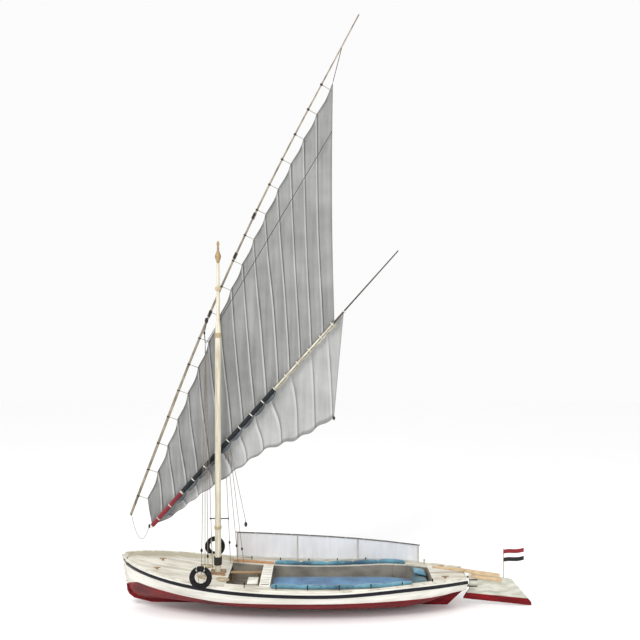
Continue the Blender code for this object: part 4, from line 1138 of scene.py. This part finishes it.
def side_fittings(iron, wood, pale_wood, plank, rope):
    """Belaying pins along both side decks, a side plank, cleats, and the rudder's straps and cheeks."""
    for side, word in ((1, "port"), (-1, "starboard")):
        parts = []
        for k in range(7):
            x = 1.34 - 0.87 * k
            path = [(x, side * (coaming(x) + 0.26), side_deck_z(x) - 0.003 + h) for h in (0.0, 0.08, 0.10, 0.14, 0.155)]
            parts.append(tube_parts(path, [0.011, 0.011, 0.018, 0.016, 0.004], 10))
        new_piece("belaying_pins_" + word, *join_parts(parts), iron, "hull", "iron")
    xs = [1.88 - 1.22 * k / 12 for k in range(13)]
    outline = [(x, side_deck_z(x) + 0.052) for x in xs] + [(x, side_deck_z(x) - 0.004) for x in xs[::-1]]
    prism("far_side_plank", outline, -1.22, -1.10, plank, "hull", "varnished_wood", 0.006)
    straps = [((-5.30, y, z - 0.016), (-5.06, y + 0.006, z + 0.016)) for z in (0.10, 0.285) for y in (0.0395, -0.0455)]
    blocks("rudder_straps", straps, iron, "rudder", "iron", 0.002)
    cheek = [(-5.12, 0.455), (-6.00, 0.325), (-6.00, 0.215), (-5.12, 0.345)]
    prism("rudder_cheek_port", cheek, 0.0395, 0.066, pale_wood, "rudder", "bare_wood")
    prism("rudder_cheek_starboard", cheek, -0.066, -0.0395, pale_wood, "rudder", "bare_wood")
    cleats = []
    for x, y in ((-4.30, 0.50), (-4.30, -0.50), (3.90, 0.45), (3.90, -0.45)):
        z = foredeck_z(x, y) if x > 0 else rail_z(x) - 0.025 + 0.015 * (1 - (y / 1.6) ** 2)
        cleats.append(((x - 0.10, y - 0.015, z + 0.045), (x + 0.10, y + 0.015, z + 0.07)))
        cleats.append(((x - 0.035, y - 0.013, z - 0.010), (x + 0.035, y + 0.013, z + 0.05)))
    blocks("deck_cleats", cleats, wood, "hull", "bare_wood", 0.006)
    path = [(x, awning_y(x), awning_top(x)) for x in (1.80 - 5.5 * k / 40 for k in range(41))]
    path_instances("awning_ties", path, band_shape(0.0215, 0.018), 11, rope, "hull")


def well_fittings(white, dark, rope):
    """Lid of the white box, a rope coil and a small fender in the open well."""
    blocks("stowage_lid", [((1.05, -0.21, 0.268), (1.35, 0.43, 0.292))], white, "hull", "deck_paint", 0.006)
    rope_coil("well_rope_coil", 1.62, 0.55, lambda x, y: -0.0205, rope)
    radii = [0.020, 0.045, 0.060, 0.064, 0.066, 0.064, 0.060, 0.045, 0.020]
    parts = tube_parts([(1.12 + 0.36 * k / 8, 0.80, 0.045) for k in range(9)], radii, 14)
    new_piece("sausage_fender", *parts, dark, "hull", "tyre_rubber")


def pillow(name, centre, size, turn, material):
    """Loose square pillow: full in the middle, its sides drawn in between pointed corners."""
    work = bmesh.new()
    bmesh.ops.create_grid(work, x_segments=24, y_segments=24, size=1.0)
    other = bmesh.ops.duplicate(work, geom=work.faces[:])
    under = [v for v in other["geom"] if isinstance(v, bmesh.types.BMVert)]
    marked = set(under)
    cosine, sine = math.cos(turn), math.sin(turn)
    for vertex in work.verts:
        u, v = vertex.co.x, vertex.co.y
        puff = ((1 - u * u) * (1 - v * v)) ** 0.45
        rough = 1 + 0.12 * noise.noise(Vector((u * 1.7, v * 1.7, centre[0])))
        x = 0.5 * size[0] * u * (1 - 0.10 * (1 - v * v))
        y = 0.5 * size[1] * v * (1 - 0.10 * (1 - u * u))
        z = 0.5 * size[2] * puff * rough * (-1 if vertex in marked else 1)
        vertex.co = Vector((centre[0] + x * cosine + z * sine, centre[1] + y, centre[2] - x * sine + z * cosine))
    mesh = bpy.data.meshes.new(name)
    work.to_mesh(mesh)
    work.free()
    made = settle(name, outward(mesh), material, "hull")
    made.data.shade_smooth()


def paint_node(node, material):
    """Give a carried-over solid its material."""
    mesh = NODES[node].data
    if mesh.materials:
        NODES[node].material_slots[0].material = material
    else:
        mesh.materials.append(material)


def build_studio():
    """Camera at the photograph's angle, pale floor just under the keel, and soft light."""
    eye = bpy.data.cameras.new("camera")
    eye.lens = 47.5
    eye.sensor_width = 36.0
    eye.clip_end = 200.0
    camera = bpy.data.objects.new("camera", eye)
    camera.location = (-0.74, 24.5, 7.81)
    camera.rotation_euler = (math.pi / 2, 0.0, math.pi)
    bpy.context.scene.collection.objects.link(camera)
    bpy.context.scene.camera = camera
    bpy.context.scene.view_settings.view_transform = "Standard"
    made, _, shader = start_material("pale_floor", 0.95)
    shader.inputs["Base Color"].default_value = linear("FDFDFD")
    mesh = bpy.data.meshes.new("floor")
    size = 60.0
    corners = [(-size, -size, FLOOR_Z), (size, -size, FLOOR_Z), (size, size, FLOOR_Z), (-size, size, FLOOR_Z)]
    mesh.from_pydata(corners, [], [(0, 1, 2, 3)])
    mesh.materials.append(made)
    floor = bpy.data.objects.new("floor", mesh)
    bpy.context.scene.collection.objects.link(floor)
    world = bpy.data.worlds.new("studio_air")
    world.use_nodes = True
    air = world.node_tree.nodes["Background"]
    air.inputs["Color"].default_value = (1.0, 1.0, 1.0, 1.0)
    air.inputs["Strength"].default_value = 0.97
    bpy.context.scene.world = world
    for name, place, power, width in (("key", (9, 16, 20), 3200, 9), ("fill", (-14, 18, 9), 1100, 12)):
        light = bpy.data.lights.new(name, "AREA")
        light.energy = power
        light.size = width
        lamp = bpy.data.objects.new(name, light)
        lamp.location = place
        lamp.rotation_euler = (Vector((0, 0, 4)) - Vector(place)).to_track_quat("-Z", "Y").to_euler()
        bpy.context.scene.collection.objects.link(lamp)


def main():
    build_studio()
    white = painted_boards("chalky_deck_paint", "DCD8CB", "A9A392", 0.11)
    boards = painted_boards("weathered_grey_boards", "8B8477", "5F5A50", 0.10)
    slats = painted_boards("white_slat_paint", "F0EEE6", "C4BFB0", 0.117)
    weathered = timber("weathered_teak", "A88A63", "5E4630")
    golden = timber("golden_oiled_beam", "D2BC9A", "A3865E", (2.0, 9.0, 9.0), 0.5)
    orange_plank = timber("orange_varnished_plank", "C79A6E", "976A42", (2.0, 9.0, 9.0), 0.4)
    knob_wood = timber("dull_varnished_knob", "A98F5F", "6E5734", (9.0, 9.0, 2.0), 0.45)
    cream_spar = timber("cream_painted_spar", "D6D0BE", "A39A82", (8.0, 8.0, 0.5), 0.55)
    yard_pole = timber("grey_brown_pole", "9C907B", "5A4F41", (3.0, 3.0, 1.0), 0.65)
    dark_pole = timber("tarred_pole", "6E655A", "38312A", (3.0, 3.0, 1.0), 0.65)
    boom_pole = timber("pale_boom_pole", "D8D2BF", "9C927A", (1.5, 6.0, 1.5), 0.6, tip="3A3027")
    # The last two colours of each canvas are the painted fold highlight and the painted fold shade, which also colours
    # the hems.
    sailcloth = canvas("sun_greyed_sailcloth", "8E8E8D", "737372", "C2C2C0", "464645")
    skirt_cloth = canvas("paler_skirt_sailcloth", "A6A6A5", "8C8C8B", "CFCFCD", "5A5A59")
    awning_cloth = canvas("pale_awning_canvas", "E2E2E4", "D2D2D4", "EAEAEA", "AEAEB0")
    # The third colour of each cushion cloth is a painted highlight on the crease crowns.
    blue = cushion_cloth("blue_mattress_cotton", "487DA6", "2E5A82", "6D9FC0")
    teal = cushion_cloth("teal_bolster_cotton", "5C91A4", "2B5467", "92BDC9")
    deep_teal = cushion_cloth("deep_teal_cover", "3A6A76", "1C3F4A", "659AA4")
    # Each rope's two colours are its painted strand highlight and the painted shade between strands.
    rope = cordage("manila_rope", "CDBE9C", "7D6C4C")
    line = cordage("grey_running_line", "8F877A", "4E483E", 0.012)
    dark_cord = cordage("tarred_cord", "3B342D", "15110E", 0.014)
    white_cord = cordage("white_tie_cord", "EDEBE2", "A5A196", 0.012)
    iron = mottled("blackened_iron", "4A2C1A", "17181A", 30.0, 0.55, 0.6, 0.002, span=(0.45, 0.75))
    tyre = mottled("weathered_tyre_rubber", "1E1D1C", "070708", 14.0, 0.78)
    stripe = mottled("navy_gloss_enamel", "1E2638", "05070F", 6.0, 0.3, depth=0.003, stretch=(2.0, 2.0, 12.0),
                     span=(0.5, 0.8))
    keel = two_tone_paint("keel_and_stem_paint", ("C2BEB0", "E2E0D8"), ("4E0208", "78060E"), 0.18, 0.0, 0.5)
    rudder = two_tone_paint("weathered_rudder_paint", ("A1A294", "CBCABE"), ("520208", "7C060E"), -0.080, 0.098, 0.19)
    # The third colour of each wrap and roll cloth is a painted highlight on the crease crowns.
    red_wrap = cushion_cloth("red_wrap_cloth", "7E1420", "4E0A14", "A03040")
    black_wrap = cushion_cloth("black_wrap_cloth", "14171B", "07080A", "2A3340", sheen=0.0)
    slate_roll = cushion_cloth("slate_roll_cloth", "596064", "2E3438", "80878A", 0.0)
    pale_wrap = cushion_cloth("greyed_wrap_cloth", "A5A293", "7C796B", "C8C4B4", 0.0)

    dress_hull(topside_paint(), stripe, keel)
    rail_cap(white)
    for node in ("foredeck", "aft_deck", "side_deck_port", "side_deck_starboard"):
        paint_node(node, white)
    for node in ("cockpit_sole", "side_lining_port", "side_lining_starboard", "aft_bulkhead"):
        paint_node(node, boards)
    smooth_node("slatted_thwart", slats, "hull", 0.005)
    smooth_node("stowage_box", slats, "hull", 0.006)
    smooth_node("centre_plank", weathered, "hull", 0.005)
    smooth_node("mast_step", weathered, "hull", 0.006)
    smooth_node("mast", cream_spar, "hull")
    smooth_node("masthead_cap", knob_wood, "hull")
    smooth_node("yard", yard_pole, "rig")
    smooth_node("parrel_collar", rope, "rig", 0.006)
    smooth_node("boom", boom_pole, "rig")
    smooth_node("tiller", golden, "rudder", 0.010)
    smooth_node("rudder_blade", rudder, "rudder", 0.006)
    smooth_node("flagstaff", weathered, "rudder")
    made = smooth_node("awning_frame", dark_pole, "hull")
    made.data.materials.append(cream_spar)
    for face in made.data.polygons:
        if face.center.z < awning_top(face.center.x) - 2 * AWNING_POLE:
            face.material_index = 1
    for node in ("gudgeon_lower", "gudgeon_upper"):
        smooth_node(node, iron, "hull", 0.003)

    pad = crowned_pad("blue_mattress", (-3.45, 0.66, lambda x: coaming(x) - 0.012), -0.018, 0.10, 0.035, blue,
                      5, (90, 36))
    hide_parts("mattress")
    low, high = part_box("bolster_aft")
    pad = crowned_pad("aft_bolster", (low.x + 0.01, high.x, lambda x: coaming(x) - 0.02), low.z, 0.33, 0.16,
                      deep_teal, 0, (30, 60))
    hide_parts("bolster_aft")
    pillow("aft_pillow", (-3.67, -0.45, 0.375), (0.38, 0.50, 0.16), -0.25, teal)
    bolster_row(1, teal)
    bolster_row(-1, teal)

    upper_sail(sailcloth)
    lower_sail(skirt_cloth)
    awning_sheet(awning_cloth)
    flag_cloth(bunting())
    spar_dressing(red_wrap, black_wrap, slate_roll, pale_wrap, white_cord, dark_cord)
    rigging(line, dark_cord)
    mast_gear(rope, dark_cord, iron, weathered)
    side_fittings(iron, weathered, golden, orange_plank, white_cord)
    well_fittings(slats, tyre, rope)
    tyre_dressing(1, white_cord, tyre)
    tyre_dressing(-1, white_cord, tyre)


main()
